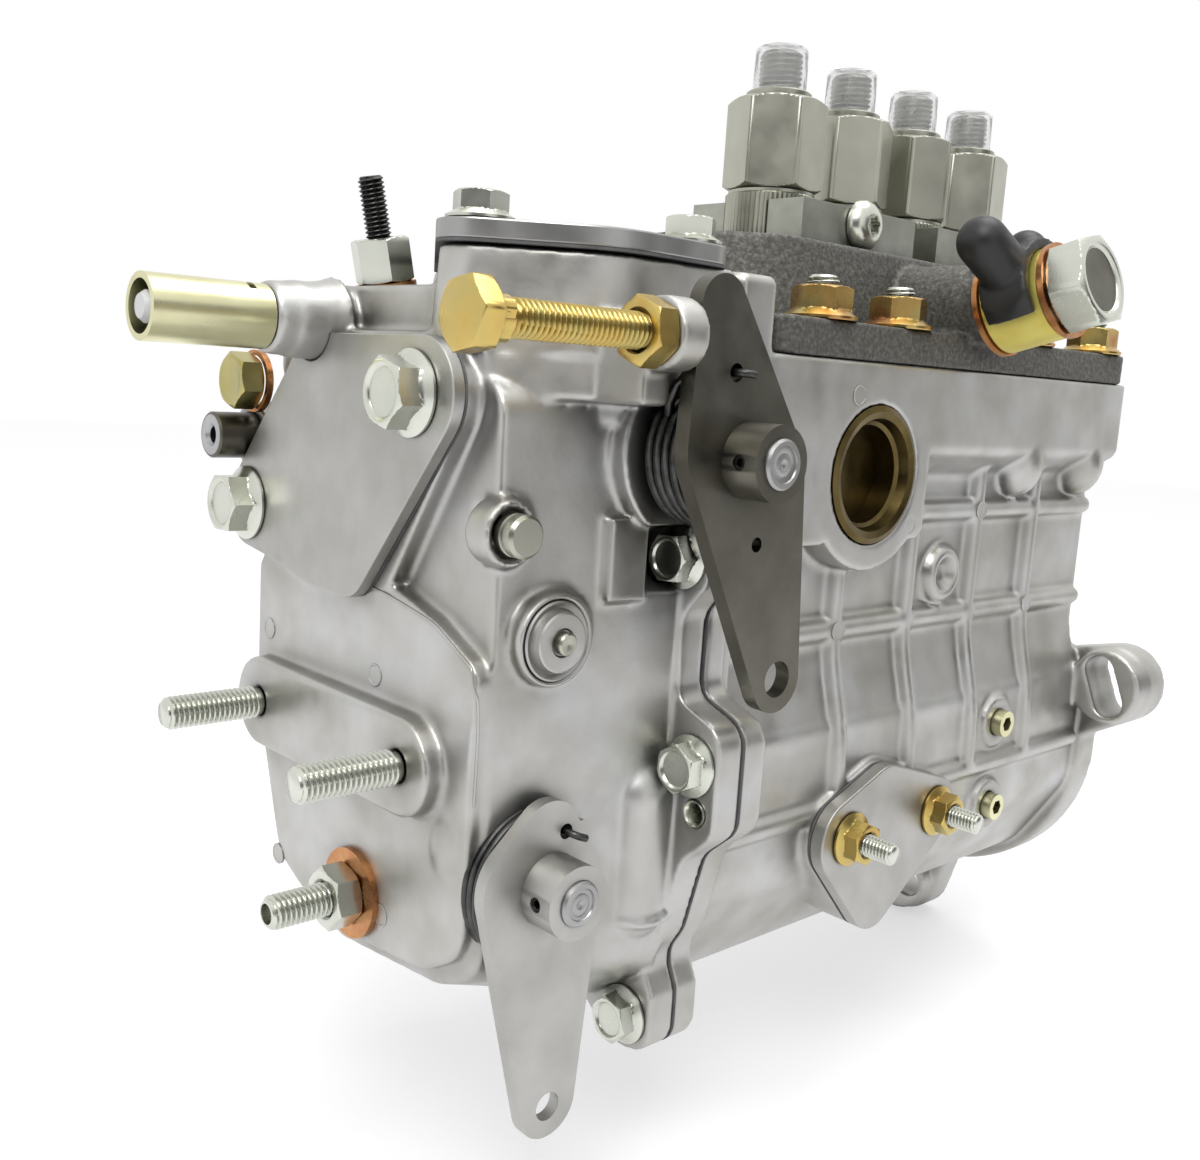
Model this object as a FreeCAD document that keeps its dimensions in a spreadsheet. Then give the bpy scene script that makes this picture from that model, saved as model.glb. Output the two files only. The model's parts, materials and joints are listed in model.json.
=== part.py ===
import FreeCAD, Part
import math
import os
import Sketcher
from FreeCAD import Placement, Rotation, Vector

# In-line diesel injection pump with four outlets and a mechanical governor.
# Millimetres. Origin on the camshaft axis at the drive flange face.
# X runs along the camshaft and points out of the drive end, Z is up,
# and the levers are on the -Y side.

doc = FreeCAD.newDocument("injection_pump")
sheet = doc.addObject("Spreadsheet::Sheet", "Sizes")


class Size:
    """A value together with the sheet expression that it comes from."""

    def __init__(self, value, text):
        self.value = value
        self.text = text

    def __add__(self, other):
        other = as_size(other)
        return Size(self.value + other.value, "(%s + %s)" % (self.text, other.text))

    def __radd__(self, other):
        return as_size(other) + self

    def __sub__(self, other):
        other = as_size(other)
        return Size(self.value - other.value, "(%s - %s)" % (self.text, other.text))

    def __rsub__(self, other):
        return as_size(other) - self

    def __mul__(self, other):
        other = as_size(other)
        return Size(self.value * other.value, "(%s * %s)" % (self.text, other.text))

    def __rmul__(self, other):
        return as_size(other) * self

    def __truediv__(self, other):
        other = as_size(other)
        return Size(self.value / other.value, "(%s / %s)" % (self.text, other.text))

    def __neg__(self):
        return Size(-self.value, "(-%s)" % self.text)


def as_size(number):
    if isinstance(number, Size):
        return number
    return Size(float(number), "(%r)" % float(number))


sheet_rows = []


def cell(alias, value, meaning):
    """Write one driving dimension to the sheet and return it as a Size."""
    sheet_rows.append(alias)
    row = len(sheet_rows)
    sheet.set("A%d" % row, meaning)
    sheet.set("B%d" % row, "%r" % value)
    sheet.setAlias("B%d" % row, alias)
    return Size(float(value), "Sizes." + alias)


ALONG = {
    "X": Rotation(Vector(0, 1, 0), 90),
    "-X": Rotation(Vector(0, 1, 0), -90),
    "Y": Rotation(Vector(1, 0, 0), -90),
    "-Y": Rotation(Vector(1, 0, 0), 90),
    "Z": Rotation(),
    "-Z": Rotation(Vector(1, 0, 0), 180),
}


def bind(obj, prop, number):
    obj.setExpression(prop, as_size(number).text)


def place(obj, at, rotation):
    """Put an object at a point given in sizes, with its own Z along the rotation."""
    if isinstance(rotation, str):
        rotation = ALONG[rotation]
    at = [as_size(number) for number in at]
    obj.Placement = Placement(Vector(at[0].value, at[1].value, at[2].value), rotation)
    for letter, number in zip("xyz", at):
        bind(obj, "Placement.Base." + letter, number)
    return obj


def cylinder(name, radius, height, at, along="Z"):
    obj = doc.addObject("Part::Cylinder", name)
    bind(obj, "Radius", radius)
    bind(obj, "Height", height)
    return place(obj, at, along)


def cone(name, radius1, radius2, height, at, along="Z"):
    obj = doc.addObject("Part::Cone", name)
    bind(obj, "Radius1", radius1)
    bind(obj, "Radius2", radius2)
    bind(obj, "Height", height)
    return place(obj, at, along)


def block(name, low, high):
    """A box between two corners."""
    obj = doc.addObject("Part::Box", name)
    low = [as_size(number) for number in low]
    high = [as_size(number) for number in high]
    bind(obj, "Length", high[0] - low[0])
    bind(obj, "Width", high[1] - low[1])
    bind(obj, "Height", high[2] - low[2])
    return place(obj, low, "Z")


def hexagon(name, across_flats, height, at, along="Z", turn=0.0):
    obj = doc.addObject("Part::Prism", name)
    obj.Polygon = 6
    bind(obj, "Circumradius", as_size(across_flats) / math.sqrt(3))
    bind(obj, "Height", height)
    rotation = ALONG[along] if isinstance(along, str) else along
    return place(obj, at, rotation.multiply(Rotation(Vector(0, 0, 1), turn)))


def fuse(name, pieces):
    obj = doc.addObject("Part::MultiFuse", name)
    obj.Shapes = pieces
    return obj


def common(name, pieces):
    obj = doc.addObject("Part::MultiCommon", name)
    obj.Shapes = pieces
    return obj


def cut(name, base, tools):
    obj = doc.addObject("Part::Cut", name)
    obj.Base = base
    obj.Tool = tools[0] if len(tools) == 1 else fuse(name + "_tools", tools)
    return obj


def sphere(name, radius, at):
    obj = doc.addObject("Part::Sphere", name)
    bind(obj, "Radius", radius)
    return place(obj, at, "Z")


def group(name, pieces):
    """Separate solids that share one node."""
    obj = doc.addObject("Part::Compound", name)
    obj.Links = pieces
    return obj


def ring(name, outer, inner, height, at, along="Z"):
    return cut(name, cylinder(name + "_outer", outer, height, at, along),
               [cylinder(name + "_hole", inner, height, at, along)])


nodes = []


def node(name, obj):
    """Name a finished sub-part. The name is also the name of its file."""
    obj.Label = name
    nodes.append(obj)
    return obj


def origin_plane(body, role):
    for feature in body.Origin.OriginFeatures:
        if feature.Role == role:
            return feature
    return None


def new_sketch(body, name, role):
    sketch = body.newObject("Sketcher::SketchObject", name)
    sketch.AttachmentSupport = [(origin_plane(body, role), "")]
    sketch.MapMode = "FlatFace"
    return sketch


def pin_point(sketch, geometry, point, u, v):
    """Hold a point of the sketch at two sizes from the sketch's origin."""
    for kind, number in (("DistanceX", u), ("DistanceY", v)):
        number = as_size(number)
        index = sketch.addConstraint(Sketcher.Constraint(kind, -1, 1, geometry, point, number.value))
        sketch.setExpression("Constraints[%d]" % index, number.text)


def turned(name, profile, at, along="Z"):
    """A body turned about its own Z from a profile of (radius, height) points."""
    body = doc.addObject("PartDesign::Body", name)
    sketch = new_sketch(body, name + "_profile", "XZ_Plane")
    points = [Vector(as_size(u).value, as_size(v).value, 0) for u, v in profile]
    count = len(points)
    for index in range(count):
        sketch.addGeometry(Part.LineSegment(points[index], points[(index + 1) % count]), False)
    for index in range(count):
        sketch.addConstraint(Sketcher.Constraint("Coincident", index, 2, (index + 1) % count, 1))
    for index in range(count):
        pin_point(sketch, index, 1, profile[index][0], profile[index][1])
    solid = body.newObject("PartDesign::Revolution", name + "_turn")
    solid.Profile = sketch
    solid.ReferenceAxis = (sketch, ["V_Axis"])
    solid.Angle = 360
    body.Tip = solid
    return place(body, at, along)


def tangent_points(first, second):
    """The ends of the outer tangent of two circles that are passed anticlockwise."""
    (u1, v1, r1), (u2, v2, r2) = first, second
    span = math.hypot(u2 - u1, v2 - v1)
    along_u, along_v = (u2 - u1) / span, (v2 - v1) / span
    lean = (r1 - r2) / span
    across = math.sqrt(1 - lean * lean)
    normal_u = lean * along_u + across * along_v
    normal_v = lean * along_v - across * along_u
    return ((u1 + r1 * normal_u, v1 + r1 * normal_v), (u2 + r2 * normal_u, v2 + r2 * normal_v))


def band(name, circles, thickness, at, along, holes=()):
    """A plate whose edge is a belt round circles, given anticlockwise as (u, v, radius)."""
    body = doc.addObject("PartDesign::Body", name)
    sketch = new_sketch(body, name + "_outline", "XY_Plane")
    rounds = [tuple(as_size(number).value for number in circle) for circle in circles]
    count = len(rounds)
    ends = [tangent_points(rounds[index], rounds[(index + 1) % count]) for index in range(count)]
    for index in range(count):
        start, stop = ends[index]
        line = Part.LineSegment(Vector(start[0], start[1], 0), Vector(stop[0], stop[1], 0))
        sketch.addGeometry(line, False)
    for index in range(count):
        u, v, radius = rounds[index]
        arrive, leave = ends[index - 1][1], ends[index][0]
        circle = Part.Circle(Vector(u, v, 0), Vector(0, 0, 1), radius)
        start = math.atan2(arrive[1] - v, arrive[0] - u)
        stop = math.atan2(leave[1] - v, leave[0] - u)
        sketch.addGeometry(Part.ArcOfCircle(circle, start, stop), False)
    for index in range(count):
        sketch.addConstraint(Sketcher.Constraint("Tangent", index, 2, count + (index + 1) % count, 1))
        sketch.addConstraint(Sketcher.Constraint("Tangent", count + index, 2, index, 1))
    for index in range(count):
        u, v, radius = [as_size(number) for number in circles[index]]
        pin_point(sketch, count + index, 3, u, v)
        constraint = sketch.addConstraint(Sketcher.Constraint("Radius", count + index, radius.value))
        sketch.setExpression("Constraints[%d]" % constraint, radius.text)
    for u, v, radius in holes:
        u, v, radius = as_size(u), as_size(v), as_size(radius)
        circle = Part.Circle(Vector(u.value, v.value, 0), Vector(0, 0, 1), radius.value)
        index = sketch.addGeometry(circle, False)
        pin_point(sketch, index, 3, u, v)
        constraint = sketch.addConstraint(Sketcher.Constraint("Radius", index, radius.value))
        sketch.setExpression("Constraints[%d]" % constraint, radius.text)
    pad = body.newObject("PartDesign::Pad", name + "_pad")
    pad.Profile = sketch
    bind(pad, "Length", thickness)
    body.Tip = pad
    return place(body, at, along)


def rounded_wire(points):
    """A closed flat wire through corners given as (u, v, radius), in the XY plane."""
    values = [tuple(as_size(number).value for number in point) for point in points]
    count = len(values)
    arcs = []
    for index in range(count):
        before, here, after = values[index - 1], values[index], values[(index + 1) % count]
        corner = Vector(here[0], here[1], 0)
        back = (Vector(before[0], before[1], 0) - corner).normalize()
        ahead = (Vector(after[0], after[1], 0) - corner).normalize()
        half = back.getAngle(ahead) / 2
        reach = here[2] / math.tan(half)
        centre = corner + (back + ahead).normalize() * (here[2] / math.sin(half))
        middle = centre + (corner - centre).normalize() * here[2]
        arcs.append((corner + back * reach, middle, corner + ahead * reach))
    edges = []
    for index in range(count):
        start, middle, stop = arcs[index]
        edges.append(Part.Arc(start, middle, stop).toShape())
        following = arcs[(index + 1) % count][0]
        if (following - stop).Length > 1e-6:
            edges.append(Part.LineSegment(stop, following).toShape())
    return Part.Wire(edges)


def upright(x_value):
    """The placement of a flat outline (u, v) in the plane X = x_value, u along Y and v along Z."""
    matrix = FreeCAD.Matrix(0, 0, 1, x_value, 1, 0, 0, 0, 0, 1, 0, 0, 0, 0, 0, 1)
    return Placement(matrix)


def shaped(name, shape):
    obj = doc.addObject("Part::Feature", name)
    obj.Shape = shape
    return obj


def slab_x(name, outline, x_low, x_high):
    """An outline in Y and Z drawn out along X."""
    x_low, x_high = as_size(x_low).value, as_size(x_high).value
    wire = rounded_wire(outline)
    wire.Placement = upright(x_low)
    return shaped(name, Part.Face(wire).extrude(Vector(x_high - x_low, 0, 0)))


def slab_z(name, outline, z_low, z_high):
    """An outline in X and Y drawn up along Z."""
    z_low, z_high = as_size(z_low).value, as_size(z_high).value
    wire = rounded_wire(outline)
    wire.Placement = Placement(Vector(0, 0, z_low), Rotation())
    return shaped(name, Part.Face(wire).extrude(Vector(0, 0, z_high - z_low)))


def loft_x(name, sections):
    """A ruled skin through outlines in Y and Z, given as (x, outline)."""
    wires = []
    for x, outline in sections:
        wire = rounded_wire(outline)
        wire.Placement = upright(as_size(x).value)
        wires.append(wire)
    return shaped(name, Part.makeLoft(wires, True, True))


def loft_z(name, sections):
    """A ruled skin through outlines in X and Y, given as (z, outline)."""
    wires = []
    for z, outline in sections:
        wire = rounded_wire(outline)
        wire.Placement = Placement(Vector(0, 0, as_size(z).value), Rotation())
        wires.append(wire)
    return shaped(name, Part.makeLoft(wires, True, True))


def inset(outline, wall):
    """The same outline moved inwards by the wall. The corners run anticlockwise."""
    wall = as_size(wall).value
    values = [tuple(as_size(number).value for number in point) for point in outline]
    count = len(values)
    moved = []
    for index in range(count):
        before, here, after = values[index - 1], values[index], values[(index + 1) % count]
        first = Vector(here[0] - before[0], here[1] - before[1], 0).normalize()
        second = Vector(after[0] - here[0], after[1] - here[1], 0).normalize()
        normal1, normal2 = Vector(-first.y, first.x, 0), Vector(-second.y, second.x, 0)
        shift = (normal1 + normal2) * (wall / (1 + normal1.dot(normal2)))
        convex = first.x * second.y - first.y * second.x > 0
        radius = max(here[2] - wall, 1.0) if convex else here[2] + wall
        moved.append((here[0] + shift.x, here[1] + shift.y, radius))
    return moved


def mirrored(half):
    """An outline that is the same on both sides of Y = 0, from its -Y half listed top to bottom."""
    return list(half) + [(-as_size(u), v, radius) for u, v, radius in reversed(list(half))]


# Driving dimensions of the whole pump
pitch = cell("outlet_pitch", 32, "distance between neighbouring outlets")
first_x = cell("first_outlet_x", -130, "X of the outlet nearest the governor")
joint_x = cell("joint_x", -200, "X of the joint between governor case and housing")
rear_x = cell("rear_x", -260, "X of the rear face of the governor case")
end_x = cell("housing_end_x", -12, "X of the end of the housing's upper part")
deck_z = cell("deck_z", 121, "Z of the housing's deck under the outlet head")
gasket = cell("gasket_thickness", 0.6, "thickness of every gasket")
running = cell("running_clearance", 0.05, "radial clearance of a shaft in its bore")
gap = cell("free_gap", 0.3, "gap between pieces that pass each other")
wall = cell("casting_wall", 5, "wall of the castings")
outlet_count = 4
outlet_x = [first_x + pitch * index for index in range(outlet_count)]
last_x = outlet_x[-1]

# Housing section
band_y = cell("band_half_width", 53, "half width of the housing's upper band")
band_low = cell("band_low_z", 99, "Z of the lower edge of the upper band")
waist_y = cell("waist_half_width", 44, "half width of the housing's ribbed wall")
waist_low = cell("waist_low_z", 38, "Z where the ribbed wall meets the cam chamber")
cam_y = cell("cam_half_width", 50, "half width of the cam chamber")
cam_low = cell("cam_low_z", -42, "Z of the bottom of the cam chamber")
rib = cell("rib_width", 3, "width of the ribs on the wall")
rib_rise = cell("rib_rise", 2, "height of the ribs over the wall")
block_top = cell("raised_top_z", 137.7, "Z of the top of the governor case")

# Camshaft line
shaft_radius = cell("shaft_radius", 10, "radius of the camshaft's journals")
cam_base = cell("cam_base_radius", 13, "radius of the cams' base circle")
cam_lift = cell("cam_lift", 8, "lift of the cams")
cam_width = cell("cam_width", 14, "width of each cam")
race_radius = cell("bearing_outer_radius", 26, "outer radius of the bearings")
race_inner = cell("bearing_race_radius", 21, "inner radius of the bearings' outer rings")
hub_race = cell("bearing_hub_radius", 14, "outer radius of the bearings' inner rings")
bearing_width = cell("bearing_width", 14, "width of the bearings")
seal_radius = cell("oil_seal_radius", 18, "outer radius of the oil seal")
drive_bearing_x = cell("drive_bearing_x", -24, "X where the drive end bearing starts")
rear_bearing_x = cell("rear_bearing_x", -188, "X where the governor end bearing starts")
chamber_radius = cell("cam_chamber_radius", 25, "radius of the cam chamber")
flange_radius = cell("flange_radius", 52.5, "radius of the drive flange")
flange_thick = cell("flange_thickness", 11, "thickness of the drive flange")
pilot_radius = cell("pilot_radius", 40, "radius of the pilot that centres the pump")
pilot_high = cell("pilot_height", 5, "height of the pilot")
ear_distance = cell("ear_distance", 65, "distance of the mounting slots from the camshaft")
slot_radius = cell("slot_radius", 4.5, "half width of the mounting slots")
slot_length = cell("slot_length", 20, "length of the mounting slots")
ear_angles = (158, 278, 38)

# Pumping elements
plunger_radius = cell("plunger_radius", 4, "radius of the plungers")
barrel_radius = cell("barrel_radius", 9, "radius of the barrels in the head")
neck_radius = cell("barrel_neck_radius", 6.5, "radius of the barrels below the head")
sleeve_radius = cell("sleeve_radius", 9.5, "outer radius of the control sleeves")
tooth_pitch = pitch / 10
teeth = 24
gear_radius = tooth_pitch * (teeth / (2 * math.pi))
tooth_high = cell("tooth_height", 2.2, "height of the rack's and sleeves' teeth")
rack_z = cell("rack_z", 99, "Z of the control rack")
rack_radius = cell("rack_radius", 4, "radius of the control rack's rod")
rack_travel = cell("rack_travel", 12, "travel of the control rack")
rack_y = -(gear_radius + tooth_high / 2 + rack_radius)
tappet_radius = cell("tappet_radius", 13, "radius of the tappet bores")
tappet_top = cell("tappet_top_z", 52, "Z of the top of the tappets")
roller_radius = cell("roller_radius", 7, "radius of the tappet rollers")
seat_thick = cell("spring_seat_thickness", 2.5, "thickness of the spring seats")
spring_top = cell("plunger_spring_top_z", 74, "Z of the top of the plunger springs")
head_top = cell("head_top_z", 152, "Z of the top of the outlet head")
head_flange = cell("head_flange_thickness", 9, "thickness of the outlet head's flange")
head_half = cell("head_half_width", 27, "half width of the outlet head's block")
head_left = cell("head_flange_left_x", -186, "X of the governor end of the head's flange")
head_right = cell("head_flange_right_x", -10, "X of the drive end of the head's flange")
stud_y = cell("head_stud_y", 46, "Y of the two rows of head studs")
stud_depth = cell("head_stud_depth", 12.5, "depth of the head studs in the housing")
stud_radius = cell("head_stud_radius", 4, "radius of the M8 studs")
stud_core = cell("rear_stud_root_radius", 3.5, "radius of the rear studs' root in the governor case")
stud_free = cell("rear_stud_free_length", 24, "length of the rear studs that stands out of the boss")
stud_root = cell("rear_stud_root_length", 12, "length of the rear studs' root in the governor case")
stud_relief = cell("rear_stud_relief", 1.5, "length of the relief between thread and boss")
nut_flats = cell("m8_across_flats", 13, "width across flats of the M8 nuts and bolts")
nut_high = cell("m8_nut_height", 8, "height of the M8 flange nuts")
nut_flange = cell("m8_flange_radius", 8.95, "radius of the M8 flanges")
m6_radius = cell("m6_radius", 3, "radius of the M6 threads")
m6_flats = cell("m6_across_flats", 10, "width across flats of the M6 bolts")
m6_flange = cell("m6_flange_radius", 7.1, "radius of the M6 flanges")
m6_high = cell("m6_head_height", 5.8, "height of the M6 flange bolts' heads")

holder_flats = cell("holder_across_flats", 24, "width across flats of the delivery valve holders")
holder_base = cell("holder_base_radius", 12.7, "radius of the holders' splined base")
base_high = cell("holder_base_height", 14.9, "height of the holders' splined base")
hex_high = cell("holder_hex_height", 24.5, "height of the holders' hexagon")
collar_radius = cell("holder_collar_radius", 9, "radius of the collar over the hexagon")
collar_high = cell("holder_collar_height", 2.2, "height of the collar over the hexagon")
outlet_radius = cell("outlet_thread_radius", 6, "radius of the outlets' M12 thread")
outlet_high = cell("outlet_thread_height", 10.6, "height of the outlets' thread")
cap_radius = cell("outlet_cap_radius", 7.4, "outer radius of the clear caps")
cap_high = cell("outlet_cap_height", 11.9, "height of the clear caps")
shank_radius = cell("holder_shank_radius", 10, "radius of the holders' thread in the head")
shank_long = cell("holder_shank_length", 14, "length of the holders' thread in the head")
holder_turns = (8, 24, 38, 14)


def cam_shape(at_x, turn):
    """One cam lobe, a belt round the base circle and a nose."""
    nose = cam_base / 3
    circles = [(0, 0, cam_base), (0, cam_base + cam_lift - nose, nose)]
    return band("cam_%d" % (turn + 1), circles, cam_width, (at_x - cam_width / 2, 0, 0),
                ALONG["X"].multiply(Rotation(Vector(0, 0, 1), 90 * turn)))


# Pump housing
housing_section = mirrored([
    (-band_y, deck_z, 0.5), (-band_y, band_low, 4), (-waist_y, band_low - 7, 4),
    (-waist_y, waist_low, 10), (-cam_y, waist_low - 11, 8), (-cam_y, -10, 16), (-30, cam_low, 18),
])
joint_section = mirrored([
    (-51, block_top, 2), (-51, 84, 6), (-58, 80, 6), (-58, 70, 6), (-51, 62, 6), (-51, 43, 5),
    (-65, 38, 7), (-65, 14, 7), (-56, 6, 8), (-51, -14, 10), (-46, -22, 8), (-50, -30, 6),
    (-50, -45, 7), (-36, -46, 7), (-26, -38, 10),
])
joint_flange = cell("joint_flange_thickness", 8, "thickness of the joint's flanges")
m6_spots = [(-57, 29), (-41.5, -37), (-50, 75)]
housing_joint_x = joint_x + gasket

cup_x = cell("cup_plug_x", -143, "X of the cup plug")
cup_z = cell("cup_plug_z", 93, "Z of the cup plug")
cup_radius = cell("cup_plug_radius", 17.5, "radius of the cup plug")
side_x = cell("side_cover_x", -125.5, "X of the side cover")
side_z = cell("side_cover_z", -1, "Z of the side cover")
side_y = cell("side_cover_seat_y", -53, "Y of the side cover's seat")
side_studs = cell("side_cover_stud_spacing", 40, "distance between the side cover's studs")
side_outline = [(-146, -1.5, 11), (-131.5, -20, 9.5), (-105.5, -1, 9.5), (-130, 7, 9)]
front_stud_x = (-162, -130, -66, -24)
back_stud_x = (-162, -130, -98, -66, -24)
stud_spots = [(x, -stud_y) for x in front_stud_x] + [(x, stud_y) for x in back_stud_x]
side_stud_x = [side_x - side_studs / 2, side_x + side_studs / 2]
plug_spots = [(-66, 17.6), (-66.5, -8.5)]


def housing_ribs():
    ribs = []
    for z in (80.5, 50.5):
        ribs.append(block("rib_z", (joint_x + 12, -waist_y - rib_rise, z), (end_x, -waist_y + 1, z + rib)))
        ribs.append(block("rib_far", (joint_x + 12, waist_y - 1, z), (end_x, waist_y + rib_rise, z + rib)))
    for index in range(outlet_count):
        x = first_x - pitch / 2 + pitch * index
        ribs.append(block("rib_x", (x, -waist_y - rib_rise, waist_low - 2),
                          (x + rib, -waist_y + 1, band_low)))
        ribs.append(block("rib_x_far", (x, waist_y - 1, waist_low - 2),
                          (x + rib, waist_y + rib_rise, band_low)))
    return ribs


def ear(index, angle):
    """One mounting ear of the drive flange, with its rounded end."""
    circles = [(0, 0, 22), (0, -ear_distance, 13)]
    piece = band("ear_%d" % index, circles, flange_thick, (-flange_thick, 0, 0),
                 ALONG["X"].multiply(Rotation(Vector(0, 0, 1), angle + 180)))
    return piece


def pump_housing():
    solids = [
        slab_x("housing_main", housing_section, joint_x + 10, end_x),
        slab_x("housing_joint", joint_section, housing_joint_x, joint_x + joint_flange),
        slab_x("housing_neck", mirrored([(-band_y, block_top, 2), (-band_y, band_low, 4),
               (-48, band_low - 8, 4), (-48, -10, 16), (-30, cam_low, 16)]), joint_x + 2, head_left - 1),
        cylinder("housing_barrel", flange_radius - 6, -end_x + 6, (end_x - 6, 0, 0), "X"),
        cylinder("housing_flange", flange_radius, flange_thick, (-flange_thick, 0, 0), "X"),
        cylinder("housing_pilot", pilot_radius, pilot_high, (0, 0, 0), "X"),
        cylinder("cup_boss", cup_radius + 7, 10, (cup_x, -band_y, cup_z), "Y"),
        cylinder("ring_boss", 8.5, 6, (-96, -waist_y - 2, 64), "Y"),
        band("side_seat", side_outline, 12, (0, side_y + 12, 0), "-Y"),
    ]
    solids += [cylinder("plug_boss", 8, 10, (x, side_y + 1, z), "Y") for x, z in plug_spots]
    solids += [ear(index, angle) for index, angle in enumerate(ear_angles)]
    solids += housing_ribs()
    hollows = [
        cylinder("cam_chamber", chamber_radius, drive_bearing_x - rear_bearing_x,
                 (rear_bearing_x, 0, 0), "X"),
        cylinder("drive_seat", race_radius, bearing_width, (drive_bearing_x, 0, 0), "X"),
        cylinder("rear_seat", race_radius, bearing_width, (rear_bearing_x, 0, 0), "X"),
        cylinder("seal_seat", seal_radius, 20, (drive_bearing_x + bearing_width, 0, 0), "X"),
        cylinder("weight_room", 31, joint_x * -1 + rear_bearing_x - 3, (joint_x, 0, 0), "X"),
        cylinder("rear_way", 18, 10, (rear_bearing_x - 5, 0, 0), "X"),
        block("spring_room", (first_x - 16, -25, tappet_top + 2), (last_x + 15, 21, deck_z + 1)),
        cylinder("rack_way", rack_radius + running, 60, (joint_x, rack_y, rack_z), "X"),
        block("rack_end_room", (last_x + 14, rack_y - rack_radius - gap, rack_z - rack_radius - gap),
              (last_x + tooth_pitch * 1.75 + rack_travel + gap, tooth_high - gear_radius,
               rack_z + rack_radius + gap)),
        cylinder("cup_seat", cup_radius, 12, (cup_x, -band_y, cup_z), "Y"),
        cylinder("ring_hole", 3.5, 5, (-96, -waist_y - 2, 64), "Y"),
    ]
    hollows += [cylinder("tappet_way", tappet_radius, tappet_top, (x, 0, 10)) for x in outlet_x]
    hollows += [cylinder("plug_hole", 4, 8, (x, side_y + 1, z), "Y") for x, z in plug_spots]
    for angle in ear_angles:
        slot = band("slot", [(-(slot_length / 2 - slot_radius), 0, slot_radius),
                             (slot_length / 2 - slot_radius, 0, slot_radius)], flange_thick,
                    (-flange_thick, ear_distance * math.cos(math.radians(angle)),
                     ear_distance * math.sin(math.radians(angle))),
                    ALONG["X"].multiply(Rotation(Vector(0, 0, 1), angle)))
        hollows.append(slot)
    hollows += [cylinder("stud_hole", stud_radius, stud_depth + 2, (x, y, deck_z - stud_depth))
                for x, y in stud_spots]
    hollows += [cylinder("joint_hole", m6_radius, 12, (joint_x, side * y, z), "X")
                for y, z in m6_spots for side in (1, -1)]
    for step in (-1, 1):
        hollows.append(cylinder("side_stud_hole", m6_radius, 10,
                                (side_x + side_studs / 2 * step, side_y, side_z), "Y"))
    node("pump_housing", cut("pump_housing", fuse("housing_solid", solids), hollows))


# Governor case
case_rear = [(-46, -14, 14), (-30, -20, 14), (10, -24, 10), (36, -13, 14), (48, 28, 20), (48, 112, 8),
             (-44, 112, 8)]
case_front = [(-50, -22, 14), (-30, -38, 14), (10, -38, 12), (44, -24, 16), (50, 24, 20), (51, 112, 4),
              (-50, 112, 6)]
front_x = joint_x - joint_flange
raise_x = rear_x + 4
pocket = m6_flange + 0.5
rear_bolt_spots = [(-24.5, 107.5), (44.5, 77.5)]
top_bolt_spots = [(-253, -30), (-208, -45), (-208, 36)]
cover_outline = [(-252, -29, 9), (-228, -31, 23), (-208, -45, 8), (-208, 36, 8)]
lever_x = cell("speed_lever_x", -211.4, "X of the speed lever's shaft")
lever_z = cell("speed_lever_z", 98, "Z of the speed lever's shaft")
lever_shaft = cell("speed_lever_shaft_radius", 5.35, "radius of the speed lever's shaft")
boss_radius = cell("lever_boss_radius", 10.5, "radius of the speed lever's boss")
boss_y = cell("lever_boss_y", -64, "Y of the end of the speed lever's boss")
stop_x = cell("stop_lever_x", -243.2, "X of the stop lever's shaft")
stop_z = cell("stop_lever_z", 6.6, "Z of the stop lever's shaft")
stop_shaft = cell("stop_lever_shaft_radius", 5, "radius of the stop lever's shaft")
stop_wall = cell("stop_lever_boss_y", -48.5, "Y of the end of the stop lever's boss")
screw_y = cell("stop_screw_y", -67.4, "Y of the idle stop screw")
screw_z = cell("stop_screw_z", 122, "Z of the idle stop screw")
screw_radius = cell("stop_screw_radius", 3.6, "radius of the idle stop screw")
screw_flats = cell("stop_screw_flats", 12, "width across flats of the idle stop screw")
screw_tip = cell("stop_screw_tip_x", -229.1, "X of the tip of the idle stop screw")
lug_x = cell("stop_lug_x", -238.3, "X of the lug that holds the idle stop screw")
lug_thick = cell("stop_lug_thickness", 7.5, "thickness of that lug")
shelf_z = cell("shelf_z", 130, "Z of the shelf behind the top cover")
rear_stud_z = cell("rear_stud_z", 29.5, "Z of the two rear studs")
rear_stud_y = cell("rear_stud_y", 5.4, "Y of the middle between the rear studs")
rear_stud_gap = cell("rear_stud_spacing", 60.6, "distance between the rear studs")
nipple_y = cell("nipple_y", 50.6, "Y of the return nipple")
nipple_z = cell("nipple_z", 93.5, "Z of the return nipple")
boss_thick = cell("rear_boss_height", 5, "height of the oval boss under the rear studs")


slant = cell("slanted_stud_tilt", 12.5, "backward tilt of the slanted stud, in degrees")
SLANT = Rotation(Vector(0, 1, 0), -slant.value)
slant_at = (-246, 14, shelf_z)


def on_slant(distance):
    lean = math.radians(slant.value)
    return (slant_at[0] - distance * math.sin(lean), slant_at[1], slant_at[2] + distance * math.cos(lean))


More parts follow.
